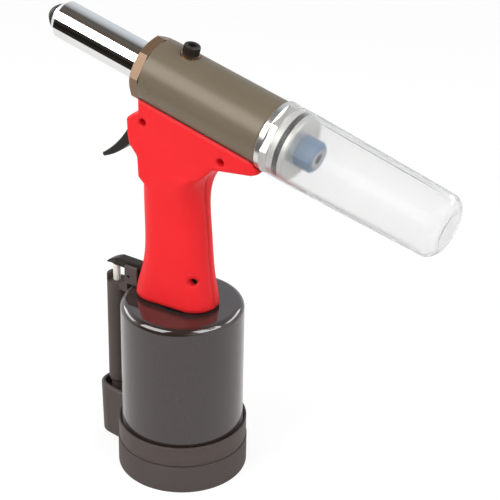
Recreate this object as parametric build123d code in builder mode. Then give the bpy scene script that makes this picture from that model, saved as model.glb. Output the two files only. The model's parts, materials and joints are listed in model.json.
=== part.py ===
from build123d import *
import math
import os

# Air-hydraulic blind riveter standing on its base.
# Frame: origin at the centre of the boot's underside, +X towards the nose, +Y left, +Z up.
# Sizes are in millimetres. "s" is a place along the tilted head axis, positive towards the nose.

os.makedirs("parts", exist_ok=True)

# Fits shared by mating pieces
RUN_FIT = 0.05
THREAD_FIT = 0.05
SEAT_FIT = 0.1
FREE_GAP = 0.3
SEAM = 0.12
EDGE = 0.8
CROWN_SLOPE = math.tan(math.radians(30))

# Head barrel
HEAD_TILT = 13.6
HEAD_Z = 268.2
BARREL_R = 20.9
BARREL_FRONT = 18.5
BARREL_REAR = -68.7
COLLAR_FLATS = 39.4
COLLAR_LENGTH = 7.0
BORE_R = 15.5
CHAMBER_FRONT = 1.5
GLAND_LENGTH = 12.5
ROD_SEAL_AT = 8.0
ROD_SEAL_LENGTH = 4.0
ROD_R = 8.5
ROD_SEAL_R = ROD_R + 2.5

# Handle post with the oil bore
POST_R = 12.0
POST_THREAD_R = 10.5
POST_TAIL = 16.6
OIL_BORE_TOP = HEAD_Z - 30.2
OIL_PORT_R = 1.8
RAM_R = 6.95
RAM_SEAL_R = 8.9
RAM_SEAL_LENGTH = 3.6
RAM_SEAL_FROM_END = 2.0

# Nose
JAW_CASE_R = ROD_R + 1.1
NOSE_BORE_R = JAW_CASE_R + 0.3
NOSE_TAIL_R = NOSE_BORE_R + 1.1
NOSE_R = NOSE_TAIL_R + 1.2
NOSE_STRAIGHT_END = 92.3
NOSE_BEVEL_END = 94.2
NOSE_BEVEL_R = NOSE_R - 1.7
NOSE_FRONT = 99.5
NOSE_FRONT_R = 7.3
NOSE_WALL = 13.5
DOME_R = 7.0
DOME_LENGTH = 3.5
DOME_MID_R = 5.75
DOME_TIP_R = 3.9
NOSEPIECE_THREAD_R = 5.0
NOSEPIECE_BORE_R = 1.6
NOSEPIECE_TAIL_R = 3.4
NOSEPIECE_TAIL_BEVEL = 1.2

# Rear cap and mandrel collector
CAP_PLUG_LENGTH = 10.7
FLANGE_R = BARREL_R + 1.3
FLANGE_LENGTH = 3.9
CAP_FLATS = 41.0
CAP_FLATS_LENGTH = 4.4
BOSS_R = 20.2
BOSS_LENGTH = 11.0
REAR_SEAL_WIRE_R = 1.0
REAR_SEAL_AT = 5.0
COLLECTOR_SEAL_BACK = 6.0
COLLECTOR_SEAL_WIRE_R = 1.6
BUSH_FLATS = 17.0
BUSH_LENGTH = 12.0
BUSH_THREAD_R = 7.8
BUSH_THREAD_LENGTH = 8.0
COLLECTOR_R = 21.9
COLLECTOR_END_R = 19.4
COLLECTOR_WALL = 1.4
COLLECTOR_STRAIGHT = 14.0
COLLECTOR_LENGTH = 111.0
COLLECTOR_ROUND = 8.5

# Pull piston, jaw case and jaws
TAIL_R = 6.4
MANDREL_R = 3.4
PISTON_FRONT = -5.0
PISTON_LENGTH = 14.0
PISTON_SEAL_LENGTH = 4.0
PISTON_SEAL_DEPTH = 3.0
JAW_CASE_REAR = 44.0
JAW_CASE_FRONT = 82.0
JAW_CASE_MOUTH_R = 4.4
JAW_CASE_LIP = 2.0
ROD_STUB_R = 7.4
ROD_STUB_LENGTH = 7.0
CONE_FRONT_R = 5.2
CONE_REAR_R = 8.0
CONE_LENGTH = 20.0
JAW_LENGTH = 14.0
JAW_ADVANCE = 3.0
JAW_END_GAP = 1.0
JAW_ARC = 90.0
JAW_BORE_R = 1.7
LOCK_RING_LENGTH = 5.0
PUSHER_R = 4.4
PUSHER_HEAD_LENGTH = 4.0
PUSHER_TUBE_LENGTH = 14.0
PUSHER_BORE_R = 2.4

# Oil filler screw, an M6 socket head
SCREW_S = -1.1
SCREW_HEAD_R = 5.0
SCREW_HEAD_H = 6.0
SCREW_SHANK_R = 2.95
SCREW_SHANK_LENGTH = 8.0
SCREW_SOCKET_FLATS = 5.0
SCREW_SOCKET_DEPTH = 3.0
SCREW_SEAT_MARGIN = 0.5
WASHER_R = 6.0
WASHER_T = 1.2

# Air cylinder and base
CYLINDER_R = 40.0
CYLINDER_WALL = 4.0
CYLINDER_TOP = 120.6
CYLINDER_ROUND = 4.5
CYLINDER_ROOF = 6.0
GASKET_T = 1.0
GASKET_R = 16.0
NUT_FLATS = 30.0
NUT_H = 8.0
BOOT_R = CYLINDER_R + 3.0
BOOT_WALL = 3.1
BOOT_TOP = 20.5
BOOT_FLOOR = 3.0
BOOT_GROOVE_H = 0.9
BOOT_GROOVE_DEPTH = 1.2
CAP_RING_R = CYLINDER_R + 2.5
CAP_RING_TOP = 34.1
CAP_BEVEL_H = 1.5
CAP_BEVEL_W = 1.2
CAP_FLOOR_TOP = 26.0
CAP_FLOOR_T = 10.0
CAP_SKIRT_WALL = 3.5
AIR_PISTON_T = 12.0
AIR_PISTON_REST = 34.0
AIR_PISTON_GAP = 0.3
AIR_SEAL_LENGTH = 4.0
AIR_SEAL_DEPTH = 4.0
RAM_STUB_R = 5.0
RAM_TIP = CYLINDER_TOP + 7.4
RAM_NUT_FLATS = 17.0
RAM_NUT_H = 6.0
RAM_STROKE = 55.0

# Air valve in front of the cylinder
VALVE_X = CYLINDER_R + 13.6
TUBE_R = 6.7
TUBE_BORE_R = 3.6
TUBE_THREAD_R = 6.3
TUBE_WAIST_R = 4.9
TUBE_FOOT = 42.6
TUBE_FOOT_ROUND = 2.2
TUBE_SHOULDER = CYLINDER_TOP - 1.7
TUBE_LIP_TOP = CYLINDER_TOP + 2.6
TUBE_LIP_T = 2.8
STEM_R = 2.5
STEM_TOP = CYLINDER_TOP + 10.2
STEM_ROUND = 1.6
STEM_GROOVE_FROM_TOP = 4.0
STEM_GROOVE_DEPTH = 0.3
STEM_GUIDE_LENGTH = 6.0
BLOCK_R = 11.2
BLOCK_BOTTOM = 3.7
BLOCK_TOP = 41.2
BLOCK_TAPER = 1.3
BLOCK_FLARE = 7.5
BLOCK_REAR_X = CYLINDER_R - 7.0
BLOCK_BEVEL = 1.2
BLOCK_WALL = 2.8
BLOCK_RECESS_FLOOR = 34.0
BLOCK_RECESS_REAR_X = CYLINDER_R + 2.8
VALVE_SEAT_TOP = 24.0
VALVE_SEAT_T = 2.5
VALVE_SEAT_R = 7.5
VALVE_CHAMBER_R = 7.8
PLUG_TOP = 9.0
PLUG_SOCKET_FLATS = 8.0
PLUG_SOCKET_DEPTH = 3.5
POPPET_R = 5.0
POPPET_T = 1.5
POPPET_SEAL_T = 1.3
INLET_Z = 13.5
INLET_BOSS_R = 9.0
INLET_BOSS_LENGTH = 25.0
INLET_R = 5.72
INLET_DEPTH = 13.0
INLET_PASSAGE_R = 3.2

# Lever over the valve stem
LEVER_X = CYLINDER_R
LEVER_Z = CYLINDER_TOP + 6.1
LEVER_PIN_R = 1.1
LEVER_PIN_HALF = 4.3
LEVER_EYE_R = 3.0
CLEVIS_HALF = 5.0
CLEVIS_REAR_X = LEVER_X - 6.8
CLEVIS_FRONT_X = LEVER_X + 3.3
CLEVIS_BOTTOM = CYLINDER_TOP + 0.8
CLEVIS_TOP = CYLINDER_TOP + 13.9
CLEVIS_ROUND = 1.6
WEB_X = CYLINDER_R + 1.2
WEB_HALF = 4.5
WEB_BOTTOM = CYLINDER_TOP - 6.1
WEB_LEDGE = 1.5
TONGUE_HALF = 2.8
LEVER_HALF = 3.1
LEVER_TIP_HALF = 0.7
LEVER_REAR = 7.0
LEVER_T = 1.6
LEVER_LIFT = 0.8
LEVER_STEM_GAP = 0.2

# Pull rod between the trigger and the lever
PULL_ROD_X = 17.0
PULL_ROD_R = 0.95
PULL_HEAD_R = 2.3
PULL_HEAD_H = 2.0
TAB_T = 3.0
TAB_HOLE_R = 1.9
TAB_HALF_LENGTH = 2.9
TAB_GAP = 0.8
TAB_ABOVE_PIN = 2.9

# Trigger
TRIGGER_X = 27.0
TRIGGER_Z = HEAD_Z - 34.2
TRIGGER_PIN_R = 2.0
TRIGGER_PIN_HALF = 11.5
TRIGGER_HALF = 4.8
TRIGGER_EDGE = 0.6
TRIGGER_TIP_ROUND = 0.9
TRIGGER_SIDE_GAP = 0.5

# Grip
GRIP_BOTTOM = CYLINDER_TOP + 2.0
HANDLE_TOP = HEAD_Z - 52.2
GRIP_HALF = 16.5
GRIP_EDGE = 2.2
GRIP_WALL = 2.8
GRIP_BARREL_GAP = 0.5
GRIP_SCREW_R = 1.6
GRIP_SCREW_HEAD_R = 2.4
GRIP_SCREW_HEAD_GAP = 0.3
GRIP_SCREW_HEAD_H = 2.4
GRIP_SCREW_SEAT = 6.0
GRIP_SCREW_REACH = 11.0
GRIP_SCREW_SOCKET_FLATS = 2.5
GRIP_SCREW_SOCKET_DEPTH = 1.5
GRIP_SCREW_PLACES = ((18.0, HEAD_Z - 24.0), (-39.5, HEAD_Z - 35.2), (-15.8, GRIP_BOTTOM + 20.6))
# Ribs across the handle: bottom and top, above the grip's lower end
GRIP_RIBS = ((-1.0, 4.0), (16.1, 25.1), (43.4, 46.4), (65.4, 69.4))
TRIGGER_BAY_FLOOR = HEAD_Z - 54.2
TRIGGER_BAY_ROOF = HEAD_Z - 26.6
ROD_SLOT_FRONT = 3.2
ROD_SLOT_HALF = 3.6
LEVER_WINDOW_GAP = 0.6
LEVER_WINDOW = (LEVER_Z - 0.3, LEVER_Z + 13.7)
GRIP_REACH = 60.0
SADDLE_ROUND_BELOW = HEAD_Z - 16.2
# The handle, from its lower end to its top: share of the way up, front face, rear face, front and rear
# half-widths, front and rear corner radii
HANDLE_SECTIONS = (
    (0.0, 32.5, -25.0, 17.2, 15.6, 16.6, 14.8),
    (0.1221, 29.9, -23.3, 16.6, 14.8, 16.0, 14.0),
    (0.3148, 25.9, -20.9, 15.8, 13.8, 15.2, 13.0),
    (0.5610, 25.4, -19.2, 15.5, 13.2, 14.9, 12.4),
    (0.7752, 25.2, -17.2, 16.5, 14.4, 15.2, 12.0),
    (0.8929, 24.6, -17.0, 16.8, 16.8, 14.6, 10.0),
    (1.0, 23.4, -23.4, 16.3, 16.3, 13.0, 5.0),
)
# Side view of the saddle: x, height from the head's origin and corner radius
SADDLE_OUTLINE = (
    (22.1, -4.2, 0),
    (22.1, -18.6, 1.5),
    (26.3, -20.3, 3.0),
    (31.0, -24.0, GRIP_EDGE + 0.6),
    (30.6, -34.2, 8.0),
    (29.2, -41.2, 3.0),
    (23.4, -47.7, 5.0),
    (22.8, -61.2, 3.0),
    (10.5, -72.0, GRIP_EDGE + 0.6),
    (3.0, -62.2, 3.0),
    (-5.0, -57.2, 3.0),
    (-18.0, -54.2, 3.0),
    (-23.0, -52.7, 4.0),
    (-33.0, -42.4, 8.0),
    (-60.5, -38.8, 6.0),
    (-67.2, -36.0, GRIP_EDGE + 0.4),
    (-62.0, -29.6, 2.0),
    (-60.2, -21.2, 0),
)
# Side views of the hollows in the tail: x and height from the head's origin
TAIL_POCKETS = (
    ((-13.5, -28.2), (-13.5, -55.2), (-17, -55.2), (-21, -48.7), (-27, -39.7), (-34, -38.2), (-34, -23.2)),
    ((-47.5, -23.2), (-47.5, -37.2), (-57, -36.0), (-57, -23.2)),
)
TAIL_WALL = 3.5

# Springs: mean radius, wire radius, turns
RETURN_SPRING = (11.2, 1.5, 5.0)
JAW_SPRING = (6.1, 0.6, 3.0)
VALVE_SPRING = (3.7, 0.4, 4.0)
SPRING_END_GAP = 0.3

# Places worked out from the driving sizes
AXIS_DIR = Vector(math.cos(math.radians(HEAD_TILT)), 0, math.sin(math.radians(HEAD_TILT)))
UP_DIR = Vector(-math.sin(math.radians(HEAD_TILT)), 0, math.cos(math.radians(HEAD_TILT)))
HEAD_ORIGIN = Vector(0, 0, HEAD_Z)
COLLAR_FRONT = BARREL_FRONT + COLLAR_LENGTH
GLAND_FRONT = CHAMBER_FRONT + GLAND_LENGTH
PLUG_FRONT = BARREL_REAR + CAP_PLUG_LENGTH
REAR_SEAL_S = BARREL_REAR + REAR_SEAL_AT
FLANGE_REAR = BARREL_REAR - FLANGE_LENGTH
FLATS_REAR = FLANGE_REAR - CAP_FLATS_LENGTH
BOSS_REAR = FLATS_REAR - BOSS_LENGTH
BUSH_REAR = BOSS_REAR - BUSH_LENGTH
COLLECTOR_MOUTH = FLATS_REAR - FREE_GAP
COLLECTOR_END = COLLECTOR_MOUTH - COLLECTOR_LENGTH
COLLECTOR_SEAL_S = FLATS_REAR - COLLECTOR_SEAL_BACK
NOSEPIECE_FRONT = NOSE_FRONT + DOME_LENGTH
PISTON_REAR = PISTON_FRONT - PISTON_LENGTH
TAIL_END = BUSH_REAR
ROD_END = JAW_CASE_REAR + ROD_STUB_LENGTH
CONE_FRONT = JAW_CASE_FRONT - JAW_CASE_LIP
CONE_REAR = CONE_FRONT - CONE_LENGTH
CONE_SLOPE = (CONE_REAR_R - CONE_FRONT_R) / CONE_LENGTH
JAW_FRONT = CONE_FRONT - JAW_END_GAP - JAW_ADVANCE
JAW_REAR = JAW_FRONT - JAW_LENGTH
PUSHER_FRONT = JAW_REAR - FREE_GAP
PUSHER_HEAD_REAR = PUSHER_FRONT - PUSHER_HEAD_LENGTH
PUSHER_REAR = PUSHER_HEAD_REAR - PUSHER_TUBE_LENGTH
SHOULDER_Z = CYLINDER_TOP + GASKET_T
POST_BOTTOM = SHOULDER_Z - POST_TAIL
RAM_SEAL_Z = POST_BOTTOM + RAM_SEAL_FROM_END
ROOF_UNDER = CYLINDER_TOP - CYLINDER_ROOF
CYLINDER_BORE = CYLINDER_R - CYLINDER_WALL
CYLINDER_FOOT = CAP_FLOOR_TOP + FREE_GAP
AIR_PISTON_TOP = AIR_PISTON_REST + AIR_PISTON_T
BOOT_BORE = BOOT_R - BOOT_WALL
BLOCK_GROWTH = (BLOCK_TOP - BLOCK_BOTTOM) * math.tan(math.radians(BLOCK_TAPER))
POPPET_TOP = VALVE_SEAT_TOP - VALVE_SEAT_T - RUN_FIT
STEM_FOOT = POPPET_TOP - POPPET_SEAL_T - POPPET_T
TAB_BOTTOM = LEVER_Z + TAB_ABOVE_PIN
LEVER_UNDER = CLEVIS_TOP + LEVER_LIFT
LEVER_TOP = LEVER_UNDER + LEVER_T
TRIGGER_TAB_TOP = TRIGGER_Z + TAB_T / 2


def upright(x):
    """A turning frame about a vertical axis: along is +Z, radius is +X."""
    return Plane(origin=(x, 0, 0), x_dir=(0, 0, 1), z_dir=(0, 1, 0)), Axis((x, 0, 0), (0, 0, 1))


def head_frame(angle=90):
    """A turning frame about the head axis: along is s, radius points at the angle from left to up."""
    a = math.radians(angle)
    radial = Vector(0, 1, 0) * math.cos(a) + UP_DIR * math.sin(a)
    across = AXIS_DIR.cross(radial)
    return Plane(origin=HEAD_ORIGIN, x_dir=AXIS_DIR, z_dir=across), Axis(HEAD_ORIGIN, AXIS_DIR)


def head_section(s):
    """A plane square to the head axis, facing the nose."""
    return Plane(origin=HEAD_ORIGIN + AXIS_DIR * s, x_dir=(0, 1, 0), z_dir=AXIS_DIR)


def head_xz(s, w):
    """Side-view place of a point s along the head axis and w above it."""
    p = HEAD_ORIGIN + AXIS_DIR * s + UP_DIR * w
    return p.X, p.Z


HEAD = head_frame()
CENTRE = upright(0)
VALVE = upright(VALVE_X)


def turn(points, frame, mode=Mode.ADD, arc=360):
    """Add or cut the round body of a closed outline of (along, radius) points."""
    with BuildSketch(frame[0]) as outline:
        with BuildLine():
            Polyline(*points, close=True)
        make_face()
    revolve(outline.sketch, axis=frame[1], revolution_arc=arc, mode=mode)


def turn_ring(start, end, inner, outer, frame, mode=Mode.ADD):
    """Add or cut a plain ring or, with no inner radius, a disc."""
    turn(((start, inner), (start, outer), (end, outer), (end, inner)), frame, mode)


def seal_ring(at, radius, wire, frame):
    """Add a round-section seal whose outside has the given radius."""
    with BuildSketch(frame[0]) as wire_section:
        with Locations((at, radius - wire)):
            Circle(wire)
    revolve(wire_section.sketch, axis=frame[1])


def prism(plane, flats, sides, length, mode=Mode.ADD):
    """Add or cut a regular prism given across its flats."""
    with BuildSketch(plane) as section:
        RegularPolygon(flats / 2, sides, major_radius=False)
    extrude(section.sketch, amount=length, mode=mode)


def cross_pin(x, z, radius, y_from, y_to, mode=Mode.ADD):
    """Add or cut a round bar along Y."""
    with BuildSketch(Plane(origin=(x, y_from, z), x_dir=(1, 0, 0), z_dir=(0, 1, 0))) as section:
        Circle(radius)
    extrude(section.sketch, amount=y_to - y_from, mode=mode)


def side_plate(points, half, mode=Mode.ADD):
    """Add or cut a plate of a side-view outline, centred on the middle plane."""
    with BuildSketch(Plane.XZ) as outline:
        with BuildLine():
            Polyline(*points, close=True)
        make_face()
    extrude(outline.sketch, amount=half, both=True, mode=mode)


def block(x, y, z, mode=Mode.ADD):
    """Add or cut a box given by its ranges on the three axes."""
    with BuildSketch(Plane.XY.offset(z[0])) as section:
        with Locations(((x[0] + x[1]) / 2, (y[0] + y[1]) / 2)):
            Rectangle(x[1] - x[0], y[1] - y[0])
    extrude(section.sketch, amount=z[1] - z[0], mode=mode)


def coil_point(plane, radius, pitch, angle):
    """Point and direction of a helix about the plane's normal."""
    c, s = math.cos(angle), math.sin(angle)
    point = plane.from_local_coords(Vector(radius * c, radius * s, pitch * angle / (2 * math.pi)))
    ahead = plane.from_local_coords(
        Vector(radius * c - radius * s, radius * s + radius * c, pitch * (angle + 1) / (2 * math.pi))
    )
    return point, (ahead - point).normalized()


def coil(plane, spring, length, name):
    """Add a wound spring on quarter-turn biarcs that starts at the plane and fills the length."""
    radius, wire, turns = spring
    pitch = (length - 2 * wire) / turns
    stations = [i * math.pi / 2 for i in range(int(turns * 4) + 1)]
    knots = [coil_point(plane, radius, pitch, a) for a in stations]
    rise = plane.z_dir * wire
    with BuildLine() as path:
        for (p0, t0), (p1, t1) in zip(knots, knots[1:]):
            start, finish = p0 + rise, p1 + rise
            chord = finish - start
            both = t0 + t1
            bend = 2 * (1 - t0.dot(t1))
            reach = (-chord.dot(both) + math.sqrt(chord.dot(both) ** 2 + bend * chord.dot(chord))) / bend
            middle = (start + finish + (t0 - t1) * reach) * 0.5
            leg = middle - start
            middle_dir = leg * (2 * leg.dot(t0) / leg.dot(leg)) - t0
            TangentArc(start, middle, tangent=t0)
            TangentArc(middle, finish, tangent=middle_dir)
    with BuildSketch(Plane(origin=knots[0][0] + rise, z_dir=knots[0][1])) as wire_section:
        Circle(wire)
    sweep(wire_section.sketch, path=path.line)
    print(f"{name}: least gap between turns {coil_gap(plane, radius, pitch, turns) - 2 * wire:.2f} mm")


def coil_gap(plane, radius, pitch, turns):
    """Least distance between points of a helix that lie at least half a turn apart."""
    step = math.pi / 12
    points = [coil_point(plane, radius, pitch, i * step)[0] for i in range(int(turns * 24) + 1)]
    return min((a - b).length for i, a in enumerate(points) for b in points[i + 12:])


# Head: barrel with its octagonal collar, the handle post and the oil ways

with BuildPart() as head_body:
    turn(
        (
            (BARREL_REAR, 0),
            (BARREL_REAR, BARREL_R - EDGE),
            (BARREL_REAR + EDGE, BARREL_R),
            (BARREL_FRONT - EDGE, BARREL_R),
            (BARREL_FRONT, BARREL_R - EDGE),
            (BARREL_FRONT, 0),
        ),
        HEAD,
    )
    prism(head_section(BARREL_FRONT), COLLAR_FLATS, 8, COLLAR_LENGTH)
    turn(
        (
            (COLLAR_FRONT, COLLAR_FLATS / 2 - EDGE),
            (COLLAR_FRONT, COLLAR_FLATS),
            (COLLAR_FRONT - CROWN_SLOPE * (COLLAR_FLATS / 2 + EDGE), COLLAR_FLATS),
        ),
        HEAD,
        Mode.SUBTRACT,
    )
    turn_ring(SHOULDER_Z, HEAD_Z, 0, POST_R, CENTRE)
    turn_ring(POST_BOTTOM, SHOULDER_Z, 0, POST_THREAD_R, CENTRE)
    turn_ring(BARREL_REAR, CHAMBER_FRONT, 0, BORE_R, HEAD, Mode.SUBTRACT)
    turn_ring(CHAMBER_FRONT, GLAND_FRONT, 0, ROD_R + RUN_FIT, HEAD, Mode.SUBTRACT)
    turn_ring(GLAND_FRONT, COLLAR_FRONT, 0, NOSE_TAIL_R + THREAD_FIT, HEAD, Mode.SUBTRACT)
    rod_seal_rear = ROD_SEAL_AT - ROD_SEAL_LENGTH / 2
    turn_ring(rod_seal_rear, rod_seal_rear + ROD_SEAL_LENGTH, 0, ROD_SEAL_R, HEAD, Mode.SUBTRACT)
    turn_ring(POST_BOTTOM, OIL_BORE_TOP, 0, RAM_R + RUN_FIT, CENTRE, Mode.SUBTRACT)
    turn_ring(RAM_SEAL_Z, RAM_SEAL_Z + RAM_SEAL_LENGTH, 0, RAM_SEAL_R, CENTRE, Mode.SUBTRACT)
    turn_ring(OIL_BORE_TOP, HEAD_Z - BORE_R, 0, OIL_PORT_R, CENTRE, Mode.SUBTRACT)
    # Flat seat and hole of the oil screw on top
    seat_w = math.sqrt(BARREL_R**2 - WASHER_R**2) - SEAT_FIT
    seat_plane = Plane(
        origin=HEAD_ORIGIN + AXIS_DIR * SCREW_S + UP_DIR * seat_w, x_dir=AXIS_DIR, z_dir=UP_DIR
    )
    with BuildSketch(seat_plane) as seat:
        Circle(WASHER_R + SCREW_SEAT_MARGIN)
    extrude(seat.sketch, amount=BARREL_R, mode=Mode.SUBTRACT)
    with BuildSketch(seat_plane) as seat_hole:
        Circle(SCREW_SHANK_R + THREAD_FIT)
    extrude(seat_hole.sketch, amount=-BARREL_R / 2, mode=Mode.SUBTRACT)
head_body.part.label = "head_body"

with BuildPart() as rod_seal:
    turn_ring(
        rod_seal_rear + SEAT_FIT,
        rod_seal_rear + ROD_SEAL_LENGTH - SEAT_FIT,
        ROD_R + RUN_FIT,
        ROD_SEAL_R - SEAT_FIT,
        HEAD,
    )
rod_seal.part.label = "rod_seal"

with BuildPart() as ram_seal:
    turn_ring(
        RAM_SEAL_Z + SEAT_FIT,
        RAM_SEAL_Z + RAM_SEAL_LENGTH - SEAT_FIT,
        RAM_R + RUN_FIT,
        RAM_SEAL_R - SEAT_FIT,
        CENTRE,
    )
ram_seal.part.label = "ram_seal"

with BuildPart() as oil_screw_washer:
    with BuildSketch(seat_plane):
        Circle(WASHER_R)
        Circle(SCREW_SHANK_R + SEAT_FIT, mode=Mode.SUBTRACT)
    extrude(amount=WASHER_T)
oil_screw_washer.part.label = "oil_screw_washer"

with BuildPart() as oil_screw:
    head_plane = seat_plane.offset(WASHER_T)
    with BuildSketch(head_plane):
        Circle(SCREW_HEAD_R)
    extrude(amount=SCREW_HEAD_H)
    with BuildSketch(head_plane):
        Circle(SCREW_SHANK_R)
    extrude(amount=-SCREW_SHANK_LENGTH)
    prism(head_plane.offset(SCREW_HEAD_H), SCREW_SOCKET_FLATS, 6, -SCREW_SOCKET_DEPTH, Mode.SUBTRACT)
    rim_edges = oil_screw.edges().filter_by(GeomType.CIRCLE).sort_by(Axis(HEAD_ORIGIN, UP_DIR))
    chamfer(rim_edges[-1], EDGE / 2)
oil_screw.part.label = "oil_screw"

# Nose: chromed sleeve and screwed nosepiece

with BuildPart() as nose_housing:
    turn(
        (
            (GLAND_FRONT + FREE_GAP, NOSE_BORE_R),
            (GLAND_FRONT + FREE_GAP, NOSE_TAIL_R),
            (COLLAR_FRONT, NOSE_TAIL_R),
            (COLLAR_FRONT, NOSE_R),
            (NOSE_STRAIGHT_END, NOSE_R),
            (NOSE_BEVEL_END, NOSE_BEVEL_R),
            (NOSE_FRONT, NOSE_FRONT_R),
            (NOSE_FRONT, NOSEPIECE_THREAD_R + THREAD_FIT),
            (NOSE_FRONT - NOSE_WALL, NOSEPIECE_THREAD_R + THREAD_FIT),
            (NOSE_FRONT - NOSE_WALL, NOSE_BORE_R),
        ),
        HEAD,
    )
nose_housing.part.label = "nose_housing"

with BuildPart() as nosepiece:
    with BuildSketch(HEAD[0]) as dome:
        with BuildLine():
            rise = ThreePointArc(
                (NOSE_FRONT, DOME_R),
                (NOSE_FRONT + DOME_LENGTH / 2, DOME_MID_R),
                (NOSEPIECE_FRONT, DOME_TIP_R),
            )
            Polyline(rise @ 1, (NOSEPIECE_FRONT, 0), (NOSE_FRONT, 0), rise @ 0)
        make_face()
    revolve(dome.sketch, axis=HEAD[1])
    turn(
        (
            (JAW_FRONT + FREE_GAP, 0),
            (JAW_FRONT + FREE_GAP, NOSEPIECE_TAIL_R - NOSEPIECE_TAIL_BEVEL),
            (JAW_FRONT + FREE_GAP + 2 * NOSEPIECE_TAIL_BEVEL, NOSEPIECE_TAIL_R),
            (NOSE_FRONT - NOSE_WALL, NOSEPIECE_TAIL_R),
            (NOSE_FRONT - NOSE_WALL, NOSEPIECE_THREAD_R),
            (NOSE_FRONT, NOSEPIECE_THREAD_R),
            (NOSE_FRONT, 0),
        ),
        HEAD,
    )
    turn_ring(JAW_FRONT, NOSEPIECE_FRONT, 0, NOSEPIECE_BORE_R, HEAD, Mode.SUBTRACT)
nosepiece.part.label = "nosepiece"

# Rear cap with its seals, the mandrel guide and the collector

with BuildPart() as rear_cap:
    turn(
        (
            (PLUG_FRONT, TAIL_R + RUN_FIT),
            (PLUG_FRONT, BORE_R - THREAD_FIT),
            (BARREL_REAR, BORE_R - THREAD_FIT),
            (BARREL_REAR, FLANGE_R - EDGE),
            (BARREL_REAR - EDGE, FLANGE_R),
            (FLANGE_REAR, FLANGE_R),
            (FLANGE_REAR, BOSS_R),
            (BOSS_REAR + EDGE, BOSS_R),
            (BOSS_REAR, BOSS_R - EDGE),
            (BOSS_REAR, BUSH_THREAD_R + THREAD_FIT),
            (BOSS_REAR + BUSH_THREAD_LENGTH, BUSH_THREAD_R + THREAD_FIT),
            (BOSS_REAR + BUSH_THREAD_LENGTH, TAIL_R + RUN_FIT),
        ),
        HEAD,
    )
    with BuildSketch(head_section(FLATS_REAR)) as flats:
        RegularPolygon(CAP_FLATS / 2, 8, major_radius=False)
        Circle(BOSS_R - 2, mode=Mode.SUBTRACT)
    extrude(flats.sketch, amount=CAP_FLATS_LENGTH)
    turn_ring(
        COLLECTOR_SEAL_S - COLLECTOR_SEAL_WIRE_R - SEAT_FIT,
        COLLECTOR_SEAL_S + COLLECTOR_SEAL_WIRE_R + SEAT_FIT,
        COLLECTOR_R - COLLECTOR_WALL - RUN_FIT - 2 * COLLECTOR_SEAL_WIRE_R - SEAT_FIT,
        BOSS_R + EDGE,
        HEAD,
        Mode.SUBTRACT,
    )
    turn_ring(
        REAR_SEAL_S - REAR_SEAL_WIRE_R - SEAT_FIT,
        REAR_SEAL_S + REAR_SEAL_WIRE_R + SEAT_FIT,
        BORE_R - RUN_FIT - 2 * REAR_SEAL_WIRE_R - SEAT_FIT,
        BORE_R + EDGE,
        HEAD,
        Mode.SUBTRACT,
    )
rear_cap.part.label = "rear_cap"

with BuildPart() as collector_seal:
    seal_ring(COLLECTOR_SEAL_S, COLLECTOR_R - COLLECTOR_WALL - RUN_FIT, COLLECTOR_SEAL_WIRE_R, HEAD)
collector_seal.part.label = "collector_seal"

with BuildPart() as rear_cap_seal:
    seal_ring(REAR_SEAL_S, BORE_R - RUN_FIT, REAR_SEAL_WIRE_R, HEAD)
rear_cap_seal.part.label = "rear_cap_seal"

with BuildPart() as mandrel_guide:
    prism(head_section(BUSH_REAR), BUSH_FLATS, 6, BUSH_LENGTH)
    turn_ring(BOSS_REAR, BOSS_REAR + BUSH_THREAD_LENGTH - FREE_GAP, 0, BUSH_THREAD_R, HEAD)
    turn(
        (
            (BUSH_REAR, BUSH_FLATS / 2 - EDGE),
            (BUSH_REAR, BUSH_FLATS),
            (BUSH_REAR + CROWN_SLOPE * (BUSH_FLATS / 2 + EDGE), BUSH_FLATS),
        ),
        HEAD,
        Mode.SUBTRACT,
    )
    turn_ring(BUSH_REAR, PLUG_FRONT, 0, TAIL_R + RUN_FIT, HEAD, Mode.SUBTRACT)
mandrel_guide.part.label = "mandrel_guide"

with BuildPart() as collector:
    turn(
        (
            (COLLECTOR_MOUTH, 0),
            (COLLECTOR_MOUTH, COLLECTOR_R),
            (COLLECTOR_MOUTH - COLLECTOR_STRAIGHT, COLLECTOR_R),
            (COLLECTOR_END, COLLECTOR_END_R),
            (COLLECTOR_END, 0),
        ),
        HEAD,
    )
    end_rim = collector.edges().filter_by(GeomType.CIRCLE).sort_by(Axis(HEAD_ORIGIN, AXIS_DIR))[0]
    fillet(end_rim, COLLECTOR_ROUND)
    mouth_face = collector.faces().filter_by(GeomType.PLANE).sort_by(Axis(HEAD_ORIGIN, AXIS_DIR))[-1]
    offset(amount=-COLLECTOR_WALL, openings=mouth_face)
collector.part.label = "collector"

# Pulling unit: hydraulic piston, jaw case, jaws, pusher and springs

with BuildPart() as pull_piston:
    turn(
        (
            (TAIL_END, MANDREL_R),
            (TAIL_END, TAIL_R),
            (PISTON_REAR, TAIL_R),
            (PISTON_REAR, BORE_R - RUN_FIT),
            (PISTON_FRONT, BORE_R - RUN_FIT),
            (PISTON_FRONT, ROD_R),
            (JAW_CASE_REAR - FREE_GAP, ROD_R),
            (JAW_CASE_REAR - FREE_GAP, ROD_STUB_R),
            (ROD_END, ROD_STUB_R),
            (ROD_END, PUSHER_R + SEAT_FIT),
            (PUSHER_REAR - JAW_ADVANCE, PUSHER_R + SEAT_FIT),
            (PUSHER_REAR - JAW_ADVANCE, MANDREL_R),
        ),
        HEAD,
    )
    seal_mid = (PISTON_FRONT + PISTON_REAR) / 2
    turn_ring(
        seal_mid - PISTON_SEAL_LENGTH / 2,
        seal_mid + PISTON_SEAL_LENGTH / 2,
        BORE_R - RUN_FIT - PISTON_SEAL_DEPTH,
        BORE_R + EDGE,
        HEAD,
        Mode.SUBTRACT,
    )
pull_piston.part.label = "pull_piston"

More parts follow.
